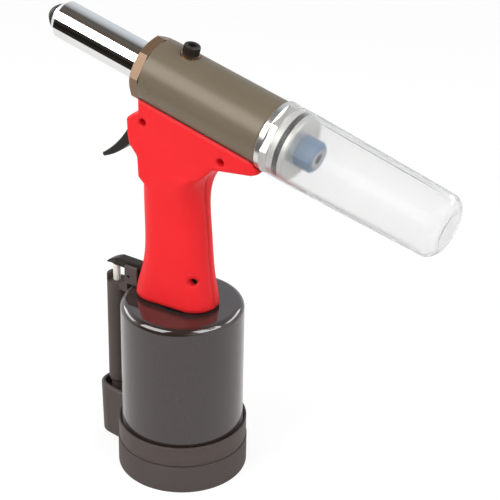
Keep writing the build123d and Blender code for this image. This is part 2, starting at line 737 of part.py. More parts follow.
with BuildPart() as pull_piston_seal:
    turn_ring(
        seal_mid - PISTON_SEAL_LENGTH / 2 + SEAT_FIT,
        seal_mid + PISTON_SEAL_LENGTH / 2 - SEAT_FIT,
        BORE_R - RUN_FIT - PISTON_SEAL_DEPTH + SEAT_FIT,
        BORE_R - RUN_FIT,
        HEAD,
    )
pull_piston_seal.part.label = "pull_piston_seal"

with BuildPart() as jaw_case:
    turn(
        (
            (JAW_CASE_REAR, ROD_STUB_R + THREAD_FIT),
            (JAW_CASE_REAR, JAW_CASE_R),
            (JAW_CASE_FRONT - JAW_CASE_LIP, JAW_CASE_R),
            (JAW_CASE_FRONT, JAW_CASE_R - JAW_CASE_LIP),
            (JAW_CASE_FRONT, JAW_CASE_MOUTH_R),
            (CONE_FRONT, CONE_FRONT_R),
            (CONE_REAR, CONE_REAR_R),
            (ROD_END + FREE_GAP, CONE_REAR_R),
            (ROD_END + FREE_GAP, ROD_STUB_R + THREAD_FIT),
        ),
        HEAD,
    )
jaw_case.part.label = "jaw_case"

with BuildPart() as jaw_case_lock_ring:
    lock_front = JAW_CASE_REAR - FREE_GAP
    turn_ring(lock_front - LOCK_RING_LENGTH, lock_front, ROD_R + THREAD_FIT, JAW_CASE_R, HEAD)
jaw_case_lock_ring.part.label = "jaw_case_lock_ring"

jaws = []
for number, angle in enumerate((90, 210, 330), start=1):
    with BuildPart() as jaw:
        turn(
            (
                (JAW_REAR, JAW_BORE_R),
                (JAW_REAR, CONE_FRONT_R + CONE_SLOPE * (CONE_FRONT - JAW_REAR) - FREE_GAP),
                (JAW_FRONT, CONE_FRONT_R + CONE_SLOPE * (CONE_FRONT - JAW_FRONT) - FREE_GAP),
                (JAW_FRONT, JAW_BORE_R + EDGE),
                (JAW_FRONT - 2 * EDGE, JAW_BORE_R),
            ),
            head_frame(angle - JAW_ARC / 2),
            arc=JAW_ARC,
        )
    jaw.part.label = f"jaw_{number}"
    jaws.append(jaw)

with BuildPart() as jaw_pusher:
    turn(
        (
            (PUSHER_REAR, PUSHER_BORE_R),
            (PUSHER_REAR, PUSHER_R),
            (PUSHER_HEAD_REAR, PUSHER_R),
            (PUSHER_HEAD_REAR, CONE_REAR_R - FREE_GAP - JAW_ADVANCE * CONE_SLOPE),
            (PUSHER_FRONT, CONE_REAR_R - FREE_GAP - JAW_ADVANCE * CONE_SLOPE - EDGE),
            (PUSHER_FRONT, PUSHER_BORE_R),
        ),
        HEAD,
    )
jaw_pusher.part.label = "jaw_pusher"

with BuildPart() as jaw_spring:
    jaw_spring_room = PUSHER_HEAD_REAR - ROD_END - 2 * SPRING_END_GAP
    coil(head_section(ROD_END + SPRING_END_GAP), JAW_SPRING, jaw_spring_room, "jaw_spring")
jaw_spring.part.label = "jaw_spring"

with BuildPart() as return_spring:
    return_spring_room = PISTON_REAR - PLUG_FRONT - 2 * SPRING_END_GAP
    coil(head_section(PLUG_FRONT + SPRING_END_GAP), RETURN_SPRING, return_spring_room, "return_spring")
return_spring.part.label = "return_spring"

# Air cylinder, its fastening to the post, and the air piston with the ram

with BuildPart() as air_cylinder:
    turn_ring(CYLINDER_FOOT, CYLINDER_TOP, 0, CYLINDER_R, CENTRE)
    top_rim = air_cylinder.edges().filter_by(GeomType.CIRCLE).sort_by(Axis.Z)[-1]
    fillet(top_rim, CYLINDER_ROUND)
    turn_ring(CYLINDER_FOOT, ROOF_UNDER, 0, CYLINDER_BORE, CENTRE, Mode.SUBTRACT)
    turn_ring(ROOF_UNDER, CYLINDER_TOP, 0, POST_THREAD_R + SEAT_FIT, CENTRE, Mode.SUBTRACT)
air_cylinder.part.label = "air_cylinder"

with BuildPart() as post_gasket:
    turn_ring(CYLINDER_TOP, SHOULDER_Z, POST_THREAD_R + SEAT_FIT, GASKET_R, CENTRE)
post_gasket.part.label = "post_gasket"

with BuildPart() as post_nut:
    prism(Plane.XY.offset(ROOF_UNDER), NUT_FLATS, 6, -NUT_H)
    turn_ring(ROOF_UNDER - NUT_H, ROOF_UNDER, 0, POST_THREAD_R + THREAD_FIT, CENTRE, Mode.SUBTRACT)
post_nut.part.label = "post_nut"

with BuildPart() as air_piston:
    piston_r = CYLINDER_BORE - AIR_PISTON_GAP
    turn_ring(AIR_PISTON_REST, AIR_PISTON_TOP, RAM_STUB_R + THREAD_FIT, piston_r, CENTRE)
    air_seal_mid = AIR_PISTON_REST + AIR_PISTON_T / 2
    turn_ring(
        air_seal_mid - AIR_SEAL_LENGTH / 2,
        air_seal_mid + AIR_SEAL_LENGTH / 2,
        piston_r - AIR_SEAL_DEPTH,
        piston_r + EDGE,
        CENTRE,
        Mode.SUBTRACT,
    )
air_piston.part.label = "air_piston"

with BuildPart() as air_piston_seal:
    turn_ring(
        air_seal_mid - AIR_SEAL_LENGTH / 2 + SEAT_FIT,
        air_seal_mid + AIR_SEAL_LENGTH / 2 - SEAT_FIT,
        piston_r - AIR_SEAL_DEPTH + SEAT_FIT,
        CYLINDER_BORE - RUN_FIT,
        CENTRE,
    )
air_piston_seal.part.label = "air_piston_seal"

with BuildPart() as ram:
    turn(
        (
            (AIR_PISTON_REST - RAM_NUT_H, 0),
            (AIR_PISTON_REST - RAM_NUT_H, RAM_STUB_R),
            (AIR_PISTON_TOP, RAM_STUB_R),
            (AIR_PISTON_TOP, RAM_R),
            (RAM_TIP - EDGE, RAM_R),
            (RAM_TIP, RAM_R - EDGE),
            (RAM_TIP, 0),
        ),
        CENTRE,
    )
ram.part.label = "ram"

with BuildPart() as ram_nut:
    prism(Plane.XY.offset(AIR_PISTON_REST), RAM_NUT_FLATS, 6, -RAM_NUT_H)
    turn_ring(
        AIR_PISTON_REST - RAM_NUT_H, AIR_PISTON_REST, 0, RAM_STUB_R + THREAD_FIT, CENTRE, Mode.SUBTRACT
    )
ram_nut.part.label = "ram_nut"

# Base: cap with the valve block, rubber boot and seals


def block_outline(grow):
    """Outline of the valve block from above: a round front with flared sides."""
    flare = math.radians(BLOCK_FLARE)
    radius = BLOCK_R + grow
    touch_x = VALVE_X + radius * math.sin(flare)
    touch_y = radius * math.cos(flare)
    rear_x = BLOCK_REAR_X - grow
    rear_y = touch_y + (touch_x - rear_x) * math.tan(flare)
    with Locations((VALVE_X, 0)):
        Circle(radius)
    Polygon(
        (rear_x, -rear_y), (touch_x, -touch_y), (touch_x, touch_y), (rear_x, rear_y), align=None
    )


with BuildPart() as base_cap:
    with BuildSketch(Plane.XY.offset(BLOCK_BOTTOM)):
        block_outline(0)
    extrude(amount=BLOCK_TOP - BLOCK_BOTTOM, taper=-BLOCK_TAPER)
    chamfer(base_cap.faces().sort_by(Axis.Z)[-1].edges(), BLOCK_BEVEL)
    with BuildSketch(Plane(origin=(VALVE_X, 0, INLET_Z), x_dir=(1, 0, 0), z_dir=(0, -1, 0))):
        Circle(INLET_BOSS_R)
    extrude(amount=INLET_BOSS_LENGTH)
    turn_ring(BOOT_FLOOR, BOOT_TOP, 0, BOOT_BORE - SEAT_FIT, CENTRE)
    turn_ring(BOOT_TOP, CAP_RING_TOP, 0, CAP_RING_R, CENTRE)
    turn(
        (
            (CAP_FLOOR_TOP, 0),
            (CAP_FLOOR_TOP, CYLINDER_R + SEAT_FIT),
            (CAP_RING_TOP - CAP_BEVEL_H, CYLINDER_R + SEAT_FIT),
            (CAP_RING_TOP, CYLINDER_R + SEAT_FIT + CAP_BEVEL_W),
            (BLOCK_TOP, CYLINDER_R + SEAT_FIT + CAP_BEVEL_W),
            (BLOCK_TOP, 0),
        ),
        CENTRE,
        Mode.SUBTRACT,
    )
    turn_ring(
        BOOT_FLOOR, CAP_FLOOR_TOP - CAP_FLOOR_T, 0, BOOT_BORE - CAP_SKIRT_WALL, CENTRE, Mode.SUBTRACT
    )
    with BuildSketch(Plane.XY.offset(BLOCK_TOP)) as recess:
        block_outline(BLOCK_GROWTH - BLOCK_WALL)
        with Locations((BLOCK_RECESS_REAR_X - CYLINDER_R, 0)):
            Rectangle(2 * CYLINDER_R, 2 * CYLINDER_R, mode=Mode.SUBTRACT)
    extrude(recess.sketch, amount=BLOCK_RECESS_FLOOR - BLOCK_TOP, mode=Mode.SUBTRACT)
    turn_ring(VALVE_SEAT_TOP, BLOCK_TOP, 0, TUBE_THREAD_R + THREAD_FIT, VALVE, Mode.SUBTRACT)
    turn_ring(BLOCK_BOTTOM, VALVE_SEAT_TOP, 0, VALVE_CHAMBER_R, VALVE, Mode.SUBTRACT)
    inlet_plane = Plane(origin=(VALVE_X, -INLET_BOSS_LENGTH, INLET_Z), x_dir=(1, 0, 0), z_dir=(0, 1, 0))
    with BuildSketch(inlet_plane) as inlet:
        Circle(INLET_R)
    extrude(inlet.sketch, amount=INLET_DEPTH, mode=Mode.SUBTRACT)
    with BuildSketch(inlet_plane) as passage:
        Circle(INLET_PASSAGE_R)
    extrude(passage.sketch, amount=INLET_BOSS_LENGTH, mode=Mode.SUBTRACT)
base_cap.part.label = "base_cap"

with BuildPart() as base_boot:
    turn_ring(0, BOOT_TOP, 0, BOOT_R, CENTRE)
    foot_rim = base_boot.edges().filter_by(GeomType.CIRCLE).sort_by(Axis.Z)[0]
    fillet(foot_rim, EDGE)
    turn_ring(BOOT_FLOOR, BOOT_TOP, 0, BOOT_BORE, CENTRE, Mode.SUBTRACT)
    turn_ring(
        BOOT_TOP - BOOT_GROOVE_H, BOOT_TOP, BOOT_R - BOOT_GROOVE_DEPTH, BOOT_R + EDGE, CENTRE, Mode.SUBTRACT
    )
    with BuildSketch(Plane.XY) as notch:
        block_outline(FREE_GAP + BLOCK_GROWTH)
    extrude(notch.sketch, amount=BOOT_TOP, mode=Mode.SUBTRACT)
base_boot.part.label = "base_boot"

with BuildPart() as cylinder_seal:
    turn_ring(CAP_FLOOR_TOP, CYLINDER_FOOT, CYLINDER_BORE + SEAT_FIT, CYLINDER_R - SEAT_FIT, CENTRE)
cylinder_seal.part.label = "cylinder_seal"

# Air valve: tube with the lever clevis, seat, plug, stem and spring

with BuildPart() as valve_tube:
    turn(
        (
            (VALVE_SEAT_TOP, 0),
            (VALVE_SEAT_TOP, TUBE_THREAD_R),
            (BLOCK_RECESS_FLOOR, TUBE_THREAD_R),
            (BLOCK_RECESS_FLOOR, TUBE_WAIST_R),
            (TUBE_FOOT, TUBE_WAIST_R),
            (TUBE_FOOT, TUBE_R - EDGE),
            (TUBE_FOOT + TUBE_FOOT_ROUND, TUBE_R),
            (TUBE_LIP_TOP, TUBE_R),
            (TUBE_LIP_TOP, 0),
        ),
        VALVE,
    )
    lip_rear_x = VALVE_X + TUBE_R - TUBE_LIP_T
    block((VALVE_X - TUBE_R, lip_rear_x), (-TUBE_R, TUBE_R), (TUBE_SHOULDER, TUBE_LIP_TOP), Mode.SUBTRACT)
    # Web and clevis that carry the lever behind the tube
    block((WEB_X, VALVE_X), (-WEB_HALF, WEB_HALF), (WEB_BOTTOM, TUBE_SHOULDER))
    block((WEB_X, CLEVIS_FRONT_X + WEB_LEDGE), (-CLEVIS_HALF, CLEVIS_HALF), (WEB_BOTTOM, CLEVIS_BOTTOM))
    block((CLEVIS_REAR_X, CLEVIS_FRONT_X), (-CLEVIS_HALF, CLEVIS_HALF), (CLEVIS_BOTTOM, CLEVIS_TOP))
    fillet(valve_tube.faces().sort_by(Axis.Z)[-1].edges().filter_by(Axis.X), CLEVIS_ROUND)
    slot_half = TONGUE_HALF + FREE_GAP
    slot_floor = LEVER_Z - LEVER_EYE_R - FREE_GAP
    block((CLEVIS_REAR_X, CLEVIS_FRONT_X), (-slot_half, slot_half), (slot_floor, CLEVIS_TOP), Mode.SUBTRACT)
    cross_pin(LEVER_X, LEVER_Z, LEVER_PIN_R + THREAD_FIT, -CLEVIS_HALF, CLEVIS_HALF, Mode.SUBTRACT)
    turn_ring(VALVE_SEAT_TOP, TUBE_SHOULDER - STEM_GUIDE_LENGTH, 0, TUBE_BORE_R, VALVE, Mode.SUBTRACT)
    turn_ring(TUBE_SHOULDER - STEM_GUIDE_LENGTH, TUBE_LIP_TOP, 0, STEM_R + RUN_FIT, VALVE, Mode.SUBTRACT)
valve_tube.part.label = "valve_tube"

with BuildPart() as valve_seat:
    turn_ring(
        VALVE_SEAT_TOP - VALVE_SEAT_T, VALVE_SEAT_TOP, TUBE_BORE_R, VALVE_CHAMBER_R - SEAT_FIT, VALVE
    )
valve_seat.part.label = "valve_seat"

with BuildPart() as valve_plug:
    turn_ring(BLOCK_BOTTOM, PLUG_TOP, 0, VALVE_CHAMBER_R - THREAD_FIT, VALVE)
    prism(Plane(origin=(VALVE_X, 0, BLOCK_BOTTOM)), PLUG_SOCKET_FLATS, 6, PLUG_SOCKET_DEPTH, Mode.SUBTRACT)
valve_plug.part.label = "valve_plug"

with BuildPart() as valve_stem:
    groove_z = STEM_TOP - STEM_GROOVE_FROM_TOP
    turn(
        (
            (STEM_FOOT, 0),
            (STEM_FOOT, POPPET_R),
            (STEM_FOOT + POPPET_T, POPPET_R),
            (STEM_FOOT + POPPET_T, STEM_R),
            (groove_z - STEM_GROOVE_DEPTH, STEM_R),
            (groove_z, STEM_R - STEM_GROOVE_DEPTH),
            (groove_z + STEM_GROOVE_DEPTH, STEM_R),
            (STEM_TOP, STEM_R),
            (STEM_TOP, 0),
        ),
        VALVE,
    )
    fillet(valve_stem.edges().filter_by(GeomType.CIRCLE).sort_by(Axis.Z)[-1], STEM_ROUND)
valve_stem.part.label = "valve_stem"

with BuildPart() as poppet_seal:
    turn_ring(POPPET_TOP - POPPET_SEAL_T, POPPET_TOP, STEM_R + SEAT_FIT, POPPET_R, VALVE)
poppet_seal.part.label = "poppet_seal"

with BuildPart() as valve_spring:
    valve_spring_room = STEM_FOOT - PLUG_TOP - 2 * SPRING_END_GAP
    valve_spring_plane = Plane(origin=(VALVE_X, 0, PLUG_TOP + SPRING_END_GAP))
    coil(valve_spring_plane, VALVE_SPRING, valve_spring_room, "valve_spring")
valve_spring.part.label = "valve_spring"

# Lever, pull rod and trigger with their pins

with BuildPart() as valve_lever:
    tip = (VALVE_X + 7.7, LEVER_Z + 3.5)
    with BuildSketch(Plane.XZ) as lever_side:
        with BuildLine():
            crown = ThreePointArc(tip, (VALVE_X + 2.6, LEVER_Z + 7.4), (VALVE_X - 4.0, LEVER_TOP))
            Polyline(
                crown @ 1,
                (LEVER_X - LEVER_REAR, LEVER_TOP),
                (LEVER_X - LEVER_REAR, LEVER_UNDER),
                (CLEVIS_FRONT_X + 0.3, LEVER_UNDER),
                (CLEVIS_FRONT_X + 1.5, STEM_TOP + LEVER_STEM_GAP),
                (VALVE_X + STEM_R, STEM_TOP + LEVER_STEM_GAP),
                (VALVE_X + 7.4, LEVER_Z + 3.0),
                crown @ 0,
            )
        make_face()
    extrude(lever_side.sketch, amount=LEVER_HALF, both=True)
    side_plate(
        (
            (PULL_ROD_X - TAB_HALF_LENGTH, TAB_BOTTOM),
            (LEVER_X, TAB_BOTTOM),
            (LEVER_X, LEVER_TOP),
            (LEVER_X - LEVER_REAR, LEVER_TOP),
            (PULL_ROD_X + 9.0, TAB_BOTTOM + TAB_T),
            (PULL_ROD_X - TAB_HALF_LENGTH, TAB_BOTTOM + TAB_T),
        ),
        TONGUE_HALF,
    )
    # The front narrows to a point over the stem
    with BuildSketch(Plane.XY.offset(LEVER_Z)) as corners:
        for side in (-1, 1):
            Polygon(
                (VALVE_X - 1.0, side * LEVER_HALF),
                (tip[0], side * LEVER_TIP_HALF),
                (tip[0] + EDGE, side * 2 * LEVER_HALF),
                (VALVE_X - 1.0, side * 2 * LEVER_HALF),
                align=None,
            )
    extrude(corners.sketch, amount=LEVER_TOP - LEVER_Z, mode=Mode.SUBTRACT)
    cross_pin(LEVER_X, LEVER_Z, LEVER_EYE_R, -TONGUE_HALF, TONGUE_HALF)
    block((LEVER_X - LEVER_EYE_R, LEVER_X + LEVER_EYE_R), (-TONGUE_HALF, TONGUE_HALF), (LEVER_Z, LEVER_TOP))
    cross_pin(LEVER_X, LEVER_Z, LEVER_PIN_R + RUN_FIT, -LEVER_HALF, LEVER_HALF, Mode.SUBTRACT)
    turn_ring(TAB_BOTTOM, TAB_BOTTOM + TAB_T, 0, TAB_HOLE_R, upright(PULL_ROD_X), Mode.SUBTRACT)
valve_lever.part.label = "valve_lever"

with BuildPart() as lever_pin:
    cross_pin(LEVER_X, LEVER_Z, LEVER_PIN_R, -LEVER_PIN_HALF, LEVER_PIN_HALF)
lever_pin.part.label = "lever_pin"

with BuildPart() as pull_rod:
    foot_top = TAB_BOTTOM - TAB_GAP
    head_foot = TRIGGER_TAB_TOP + TAB_GAP
    turn_ring(foot_top, head_foot, 0, PULL_ROD_R, upright(PULL_ROD_X))
    turn_ring(foot_top - PULL_HEAD_H, foot_top, 0, PULL_HEAD_R, upright(PULL_ROD_X))
    turn_ring(head_foot, head_foot + PULL_HEAD_H, 0, PULL_HEAD_R, upright(PULL_ROD_X))
pull_rod.part.label = "pull_rod"

with BuildPart() as trigger:
    with BuildSketch(Plane.XZ):
        with BuildLine():
            l1 = Line((TRIGGER_X - 4.0, TRIGGER_Z + 4.0), (TRIGGER_X + 8.0, TRIGGER_Z + 4.4))
            l2 = Line(l1 @ 1, (TRIGGER_X + 11.8, TRIGGER_Z - 2.4))
            l3 = ThreePointArc(
                l2 @ 1, (TRIGGER_X + 20.2, TRIGGER_Z - 13.7), (TRIGGER_X + 32.8, TRIGGER_Z - 24.4)
            )
            l4 = Line(l3 @ 1, (TRIGGER_X + 31.8, TRIGGER_Z - 26.6))
            l5 = ThreePointArc(
                l4 @ 1, (TRIGGER_X + 19.5, TRIGGER_Z - 20.4), (TRIGGER_X + 10.0, TRIGGER_Z - 11.8)
            )
            l6 = Line(l5 @ 1, (TRIGGER_X - 4.0, TRIGGER_Z - 5.0))
            Line(l6 @ 1, l1 @ 0)
        make_face()
    extrude(amount=TRIGGER_HALF, both=True)
    fillet(trigger.edges().filter_by(Axis.Y).sort_by(Axis.X)[-2:], TRIGGER_TIP_ROUND)
    chamfer(trigger.faces().filter_by(Axis.Y).edges(), TRIGGER_EDGE)
    block(
        (PULL_ROD_X - TAB_HALF_LENGTH, TRIGGER_X),
        (-TRIGGER_HALF, TRIGGER_HALF),
        (TRIGGER_Z - TAB_T / 2, TRIGGER_TAB_TOP),
    )
    turn_ring(
        TRIGGER_Z - TAB_T, TRIGGER_TAB_TOP, 0, TAB_HOLE_R, upright(PULL_ROD_X), Mode.SUBTRACT
    )
    cross_pin(TRIGGER_X, TRIGGER_Z, TRIGGER_PIN_R + RUN_FIT, -TRIGGER_HALF, TRIGGER_HALF, Mode.SUBTRACT)
trigger.part.label = "trigger"

with BuildPart() as trigger_pin:
    cross_pin(TRIGGER_X, TRIGGER_Z, TRIGGER_PIN_R, -TRIGGER_PIN_HALF, TRIGGER_PIN_HALF)
trigger_pin.part.label = "trigger_pin"

# Grip: two moulded halves round the post, with ribs, and their screws


def handle(inset, mode):
    """Add or cut the handle as a loft of rounded sections, drawn in by the inset."""
    sections = []
    for share, front, rear, front_half, rear_half, front_r, rear_r in HANDLE_SECTIONS:
        height = GRIP_BOTTOM + share * (HANDLE_TOP - GRIP_BOTTOM)
        with BuildSketch(Plane.XY.offset(height)) as section:
            for side in (-1, 1):
                with Locations((front - front_r, side * (front_half - front_r))):
                    Circle(front_r - inset)
                with Locations((rear + rear_r, side * (rear_half - rear_r))):
                    Circle(rear_r - inset)
            make_hull()
        sections.append(section.sketch)
    loft(sections, mode=mode)


with BuildPart() as handle_core:
    # Hollow of the handle between its ribs
    handle(GRIP_WALL, Mode.ADD)
    for low, high in GRIP_RIBS:
        rib = (GRIP_BOTTOM + low, GRIP_BOTTOM + high)
        block((-GRIP_REACH, GRIP_REACH), (-GRIP_REACH, GRIP_REACH), rib, Mode.SUBTRACT)

with BuildPart() as grip_shell:
    # Saddle under the barrel with the trigger housing in front and the tail behind
    with BuildSketch(Plane.XZ):
        with BuildLine():
            FilletPolyline(
                *[(x, HEAD_Z + rise) for x, rise, corner in SADDLE_OUTLINE],
                radius=[corner for x, rise, corner in SADDLE_OUTLINE],
                close=True,
            )
        make_face()
    extrude(amount=GRIP_HALF, both=True)
    sides = grip_shell.faces().filter_by(Axis.Y).edges()
    fillet(sides.filter_by(lambda e: e.center().Z < SADDLE_ROUND_BELOW), GRIP_EDGE)
    handle(0, Mode.ADD)
    # Room for the barrel, the post with its gasket, the pull rod, the lever and the trigger
    saddle_r = BARREL_R + GRIP_BARREL_GAP
    turn_ring(BARREL_REAR - BARREL_R, COLLAR_FRONT + BARREL_R, 0, saddle_r, HEAD, Mode.SUBTRACT)
    flange_room_r = FLANGE_R + GRIP_BARREL_GAP
    turn_ring(BARREL_REAR - BARREL_R, BARREL_REAR + GRIP_BARREL_GAP, 0, flange_room_r, HEAD, Mode.SUBTRACT)
    add(handle_core.part, mode=Mode.SUBTRACT)
    turn_ring(GRIP_BOTTOM, HEAD_Z, 0, POST_R + SEAT_FIT, CENTRE, Mode.SUBTRACT)
    turn_ring(GRIP_BOTTOM, SHOULDER_Z + FREE_GAP, 0, GASKET_R + FREE_GAP, CENTRE, Mode.SUBTRACT)
    block(
        (0, PULL_ROD_X + ROD_SLOT_FRONT),
        (-ROD_SLOT_HALF, ROD_SLOT_HALF),
        (GRIP_BOTTOM, TRIGGER_BAY_ROOF),
        Mode.SUBTRACT,
    )
    window_half = TONGUE_HALF + LEVER_WINDOW_GAP
    block((PULL_ROD_X, GRIP_REACH), (-window_half, window_half), LEVER_WINDOW, Mode.SUBTRACT)
    bay_half = TRIGGER_HALF + TRIGGER_SIDE_GAP
    block((0, GRIP_REACH), (-bay_half, bay_half), (TRIGGER_BAY_FLOOR, TRIGGER_BAY_ROOF), Mode.SUBTRACT)
    cross_pin(
        TRIGGER_X, TRIGGER_Z, TRIGGER_PIN_R + THREAD_FIT, -TRIGGER_PIN_HALF - SEAT_FIT,
        TRIGGER_PIN_HALF + SEAT_FIT, Mode.SUBTRACT
    )
    for pocket in TAIL_POCKETS:
        outline = [(x, HEAD_Z + rise) for x, rise in pocket]
        side_plate(outline, GRIP_HALF - TAIL_WALL, Mode.SUBTRACT)
    # Screw holes, sunk on the left side
    head_top = GRIP_SCREW_SEAT + GRIP_SCREW_HEAD_H
    for x, z in GRIP_SCREW_PLACES:
        cross_pin(x, z, GRIP_SCREW_R + THREAD_FIT, -GRIP_SCREW_REACH - SEAT_FIT, head_top, Mode.SUBTRACT)
        cross_pin(
            x, z, GRIP_SCREW_HEAD_R + GRIP_SCREW_HEAD_GAP, GRIP_SCREW_SEAT, 2 * GRIP_HALF, Mode.SUBTRACT
        )

with BuildPart() as grip_left:
    add(grip_shell.part)
    split(bisect_by=Plane(origin=(0, SEAM / 2, 0), z_dir=(0, 1, 0)), keep=Keep.TOP)
grip_left.part.label = "grip_left"

with BuildPart() as grip_right:
    add(grip_shell.part)
    split(bisect_by=Plane(origin=(0, -SEAM / 2, 0), z_dir=(0, -1, 0)), keep=Keep.TOP)
grip_right.part.label = "grip_right"

grip_screws = []
for name, (x, z) in zip(("front", "tail", "lower"), GRIP_SCREW_PLACES):
    with BuildPart() as grip_screw:
        cross_pin(x, z, GRIP_SCREW_R, -GRIP_SCREW_REACH, GRIP_SCREW_SEAT)
        cross_pin(x, z, GRIP_SCREW_HEAD_R, GRIP_SCREW_SEAT, head_top)
        driver_plane = Plane(origin=(x, head_top, z), x_dir=(1, 0, 0), z_dir=(0, 1, 0))
        prism(driver_plane, GRIP_SCREW_SOCKET_FLATS, 6, -GRIP_SCREW_SOCKET_DEPTH, Mode.SUBTRACT)
    grip_screw.part.label = f"grip_screw_{name}"
    grip_screws.append(grip_screw)

pieces = [
    head_body, rod_seal, ram_seal, oil_screw_washer, oil_screw, nose_housing, nosepiece, rear_cap,
    collector_seal, rear_cap_seal, mandrel_guide, collector, pull_piston, pull_piston_seal, jaw_case,
    jaw_case_lock_ring, *jaws, jaw_pusher, jaw_spring, return_spring, air_cylinder, post_gasket, post_nut,
    air_piston, air_piston_seal, ram, ram_nut, base_cap, base_boot, cylinder_seal, valve_tube, valve_seat,
    valve_plug, valve_stem, poppet_seal, valve_spring, valve_lever, lever_pin, pull_rod, trigger, trigger_pin,
    grip_left, grip_right, *grip_screws,
]
for piece in pieces:
    export_step(piece.part, f"parts/{piece.part.label}.step")
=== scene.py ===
# %% [markdown]
# # A pneumatic riveter
# The CAD model is the fixed frame: every solid already has its place. This lesson gives each surface its
# real finish, adds the small repeated details, copies the two springs to pieces of their own, and sets up
# the camera and a plain studio.

import json
import math

import bpy
from mathutils import Matrix, Vector


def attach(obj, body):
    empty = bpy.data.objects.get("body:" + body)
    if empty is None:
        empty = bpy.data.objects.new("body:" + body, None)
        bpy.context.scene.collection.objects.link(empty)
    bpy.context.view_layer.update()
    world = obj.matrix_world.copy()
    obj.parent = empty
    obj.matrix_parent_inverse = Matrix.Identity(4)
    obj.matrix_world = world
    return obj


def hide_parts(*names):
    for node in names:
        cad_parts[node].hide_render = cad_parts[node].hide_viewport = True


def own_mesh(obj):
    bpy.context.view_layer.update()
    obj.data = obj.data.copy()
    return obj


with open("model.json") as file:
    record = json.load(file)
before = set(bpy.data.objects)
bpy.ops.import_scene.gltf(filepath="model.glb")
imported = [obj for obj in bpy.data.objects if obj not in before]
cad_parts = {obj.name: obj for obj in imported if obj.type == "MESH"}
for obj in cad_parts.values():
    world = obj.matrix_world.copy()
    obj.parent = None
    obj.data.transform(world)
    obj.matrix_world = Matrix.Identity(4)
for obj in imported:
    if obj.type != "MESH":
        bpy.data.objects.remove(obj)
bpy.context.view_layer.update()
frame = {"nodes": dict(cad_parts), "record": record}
nodes = frame["nodes"]
record = frame["record"]
scene = bpy.context.scene
scene.view_settings.view_transform = "Standard"
print("frame loaded with", len(nodes), "nodes")

# %% [markdown]
# ## Camera
# The photo looks at the tool from behind its left side and from above. The camera's place and turn were
# worked out from the circles of the cylinder, the boot and the head, so the tool fills the frame as it
# does in the photo. A long lens keeps the perspective mild.

# %% Camera at the photo's angle
CAMERA_AZIMUTH = math.radians(213.52)
CAMERA_HEIGHT = math.radians(27.25)
CAMERA_ROLL = math.radians(1.26)
CAMERA_DISTANCE = 0.9396
CAMERA_AIM = Vector((-0.05106, 0.0, 0.1720))
SENSOR_MM = 36.0
LENS_MM = 110.8


def camera_turn(azimuth, height, roll):
    """The camera's right, up and back directions as the columns of a matrix."""
    flat = math.cos(height)
    back = Vector((math.sin(azimuth) * flat, -math.cos(azimuth) * flat, math.sin(height)))
    level = Vector((math.cos(azimuth), math.sin(azimuth), 0.0))
    upright = back.cross(level)
    right = level * math.cos(roll) + upright * math.sin(roll)
    up = upright * math.cos(roll) - level * math.sin(roll)
    return Matrix((right, up, back)).transposed()


camera_data = bpy.data.cameras.new("camera")
camera_data.sensor_width = SENSOR_MM
camera_data.lens = LENS_MM
camera = bpy.data.objects.new("camera", camera_data)
scene.collection.objects.link(camera)
turn = camera_turn(CAMERA_AZIMUTH, CAMERA_HEIGHT, CAMERA_ROLL)
camera_place = CAMERA_AIM + turn.col[2] * CAMERA_DISTANCE
camera.matrix_world = Matrix.Translation(camera_place) @ turn.to_4x4()
scene.camera = camera
print("camera at", [round(value, 3) for value in camera_place])

# %% [markdown]
# ## Colours and nodes
# Colours are written as the hex values that a colour picker shows, and one function turns them to the
# linear values that shaders use. Another adds a node with its settings and links, so each material reads
# as a short list. Patterns are sized from real millimetres.

# %% Helpers for materials
# The head axis leans back by this angle and crosses the upright axis at this height
HEAD_TILT = math.radians(13.6)
HEAD_Z = 0.2682
MM = 0.001


def linear(colour):
    """An sRGB hex value as linear red, green, blue and alpha."""
    parts = [int(colour[k:k + 2], 16) / 255 for k in (1, 3, 5)]
    return [((c + 0.055) / 1.055) ** 2.4 if c > 0.04045 else c / 12.92 for c in parts] + [1.0]


def per_mm(size):
    """Texture scale for features of this size in millimetres."""
    return 1 / (size * MM)


def add_node(tree, kind, inputs=None, **settings):
    """Add a node, set it up, and set or link its inputs."""
    node = tree.nodes.new(kind)
    for key, value in settings.items():
        setattr(node, key, value)
    for socket, value in (inputs or {}).items():
        if isinstance(value, bpy.types.NodeSocket):
            tree.links.new(value, node.inputs[socket])
        else:
            node.inputs[socket].default_value = value
    return node


def start_material(name, **values):
    """A new material, its tree, its shader with plain values set, and object coordinates."""
    material = bpy.data.materials.new(name)
    material.use_nodes = True
    tree = material.node_tree
    shader = tree.nodes["Principled BSDF"]
    for socket, value in values.items():
        shader.inputs[socket.replace("_", " ")].default_value = value
    place = add_node(tree, "ShaderNodeTexCoord").outputs["Object"]
    return material, tree, shader, place


finishes = {}
print("helpers ready")

# %% [markdown]
# ## Mottle, grain and bump
# No finish is the same all over: handling, casting and plating leave patches of slightly different colour
# and gloss, and a fine grain. One helper drives the shader's colour and roughness from a soft noise, and a
# second adds a fine bump. Both patterns are in object coordinates, so they stay on the piece as it moves.
# The second helper can also ease corners: a Bevel node turns the normals near an edge, so that the sharp
# edge of a moulding or a casting catches the light as a rounded one does.

# %% Mottle and grain
# Most values of a noise texture lie in this range
NOISE_RANGE = (0.3, 0.7)
CORNER_SAMPLES = 8


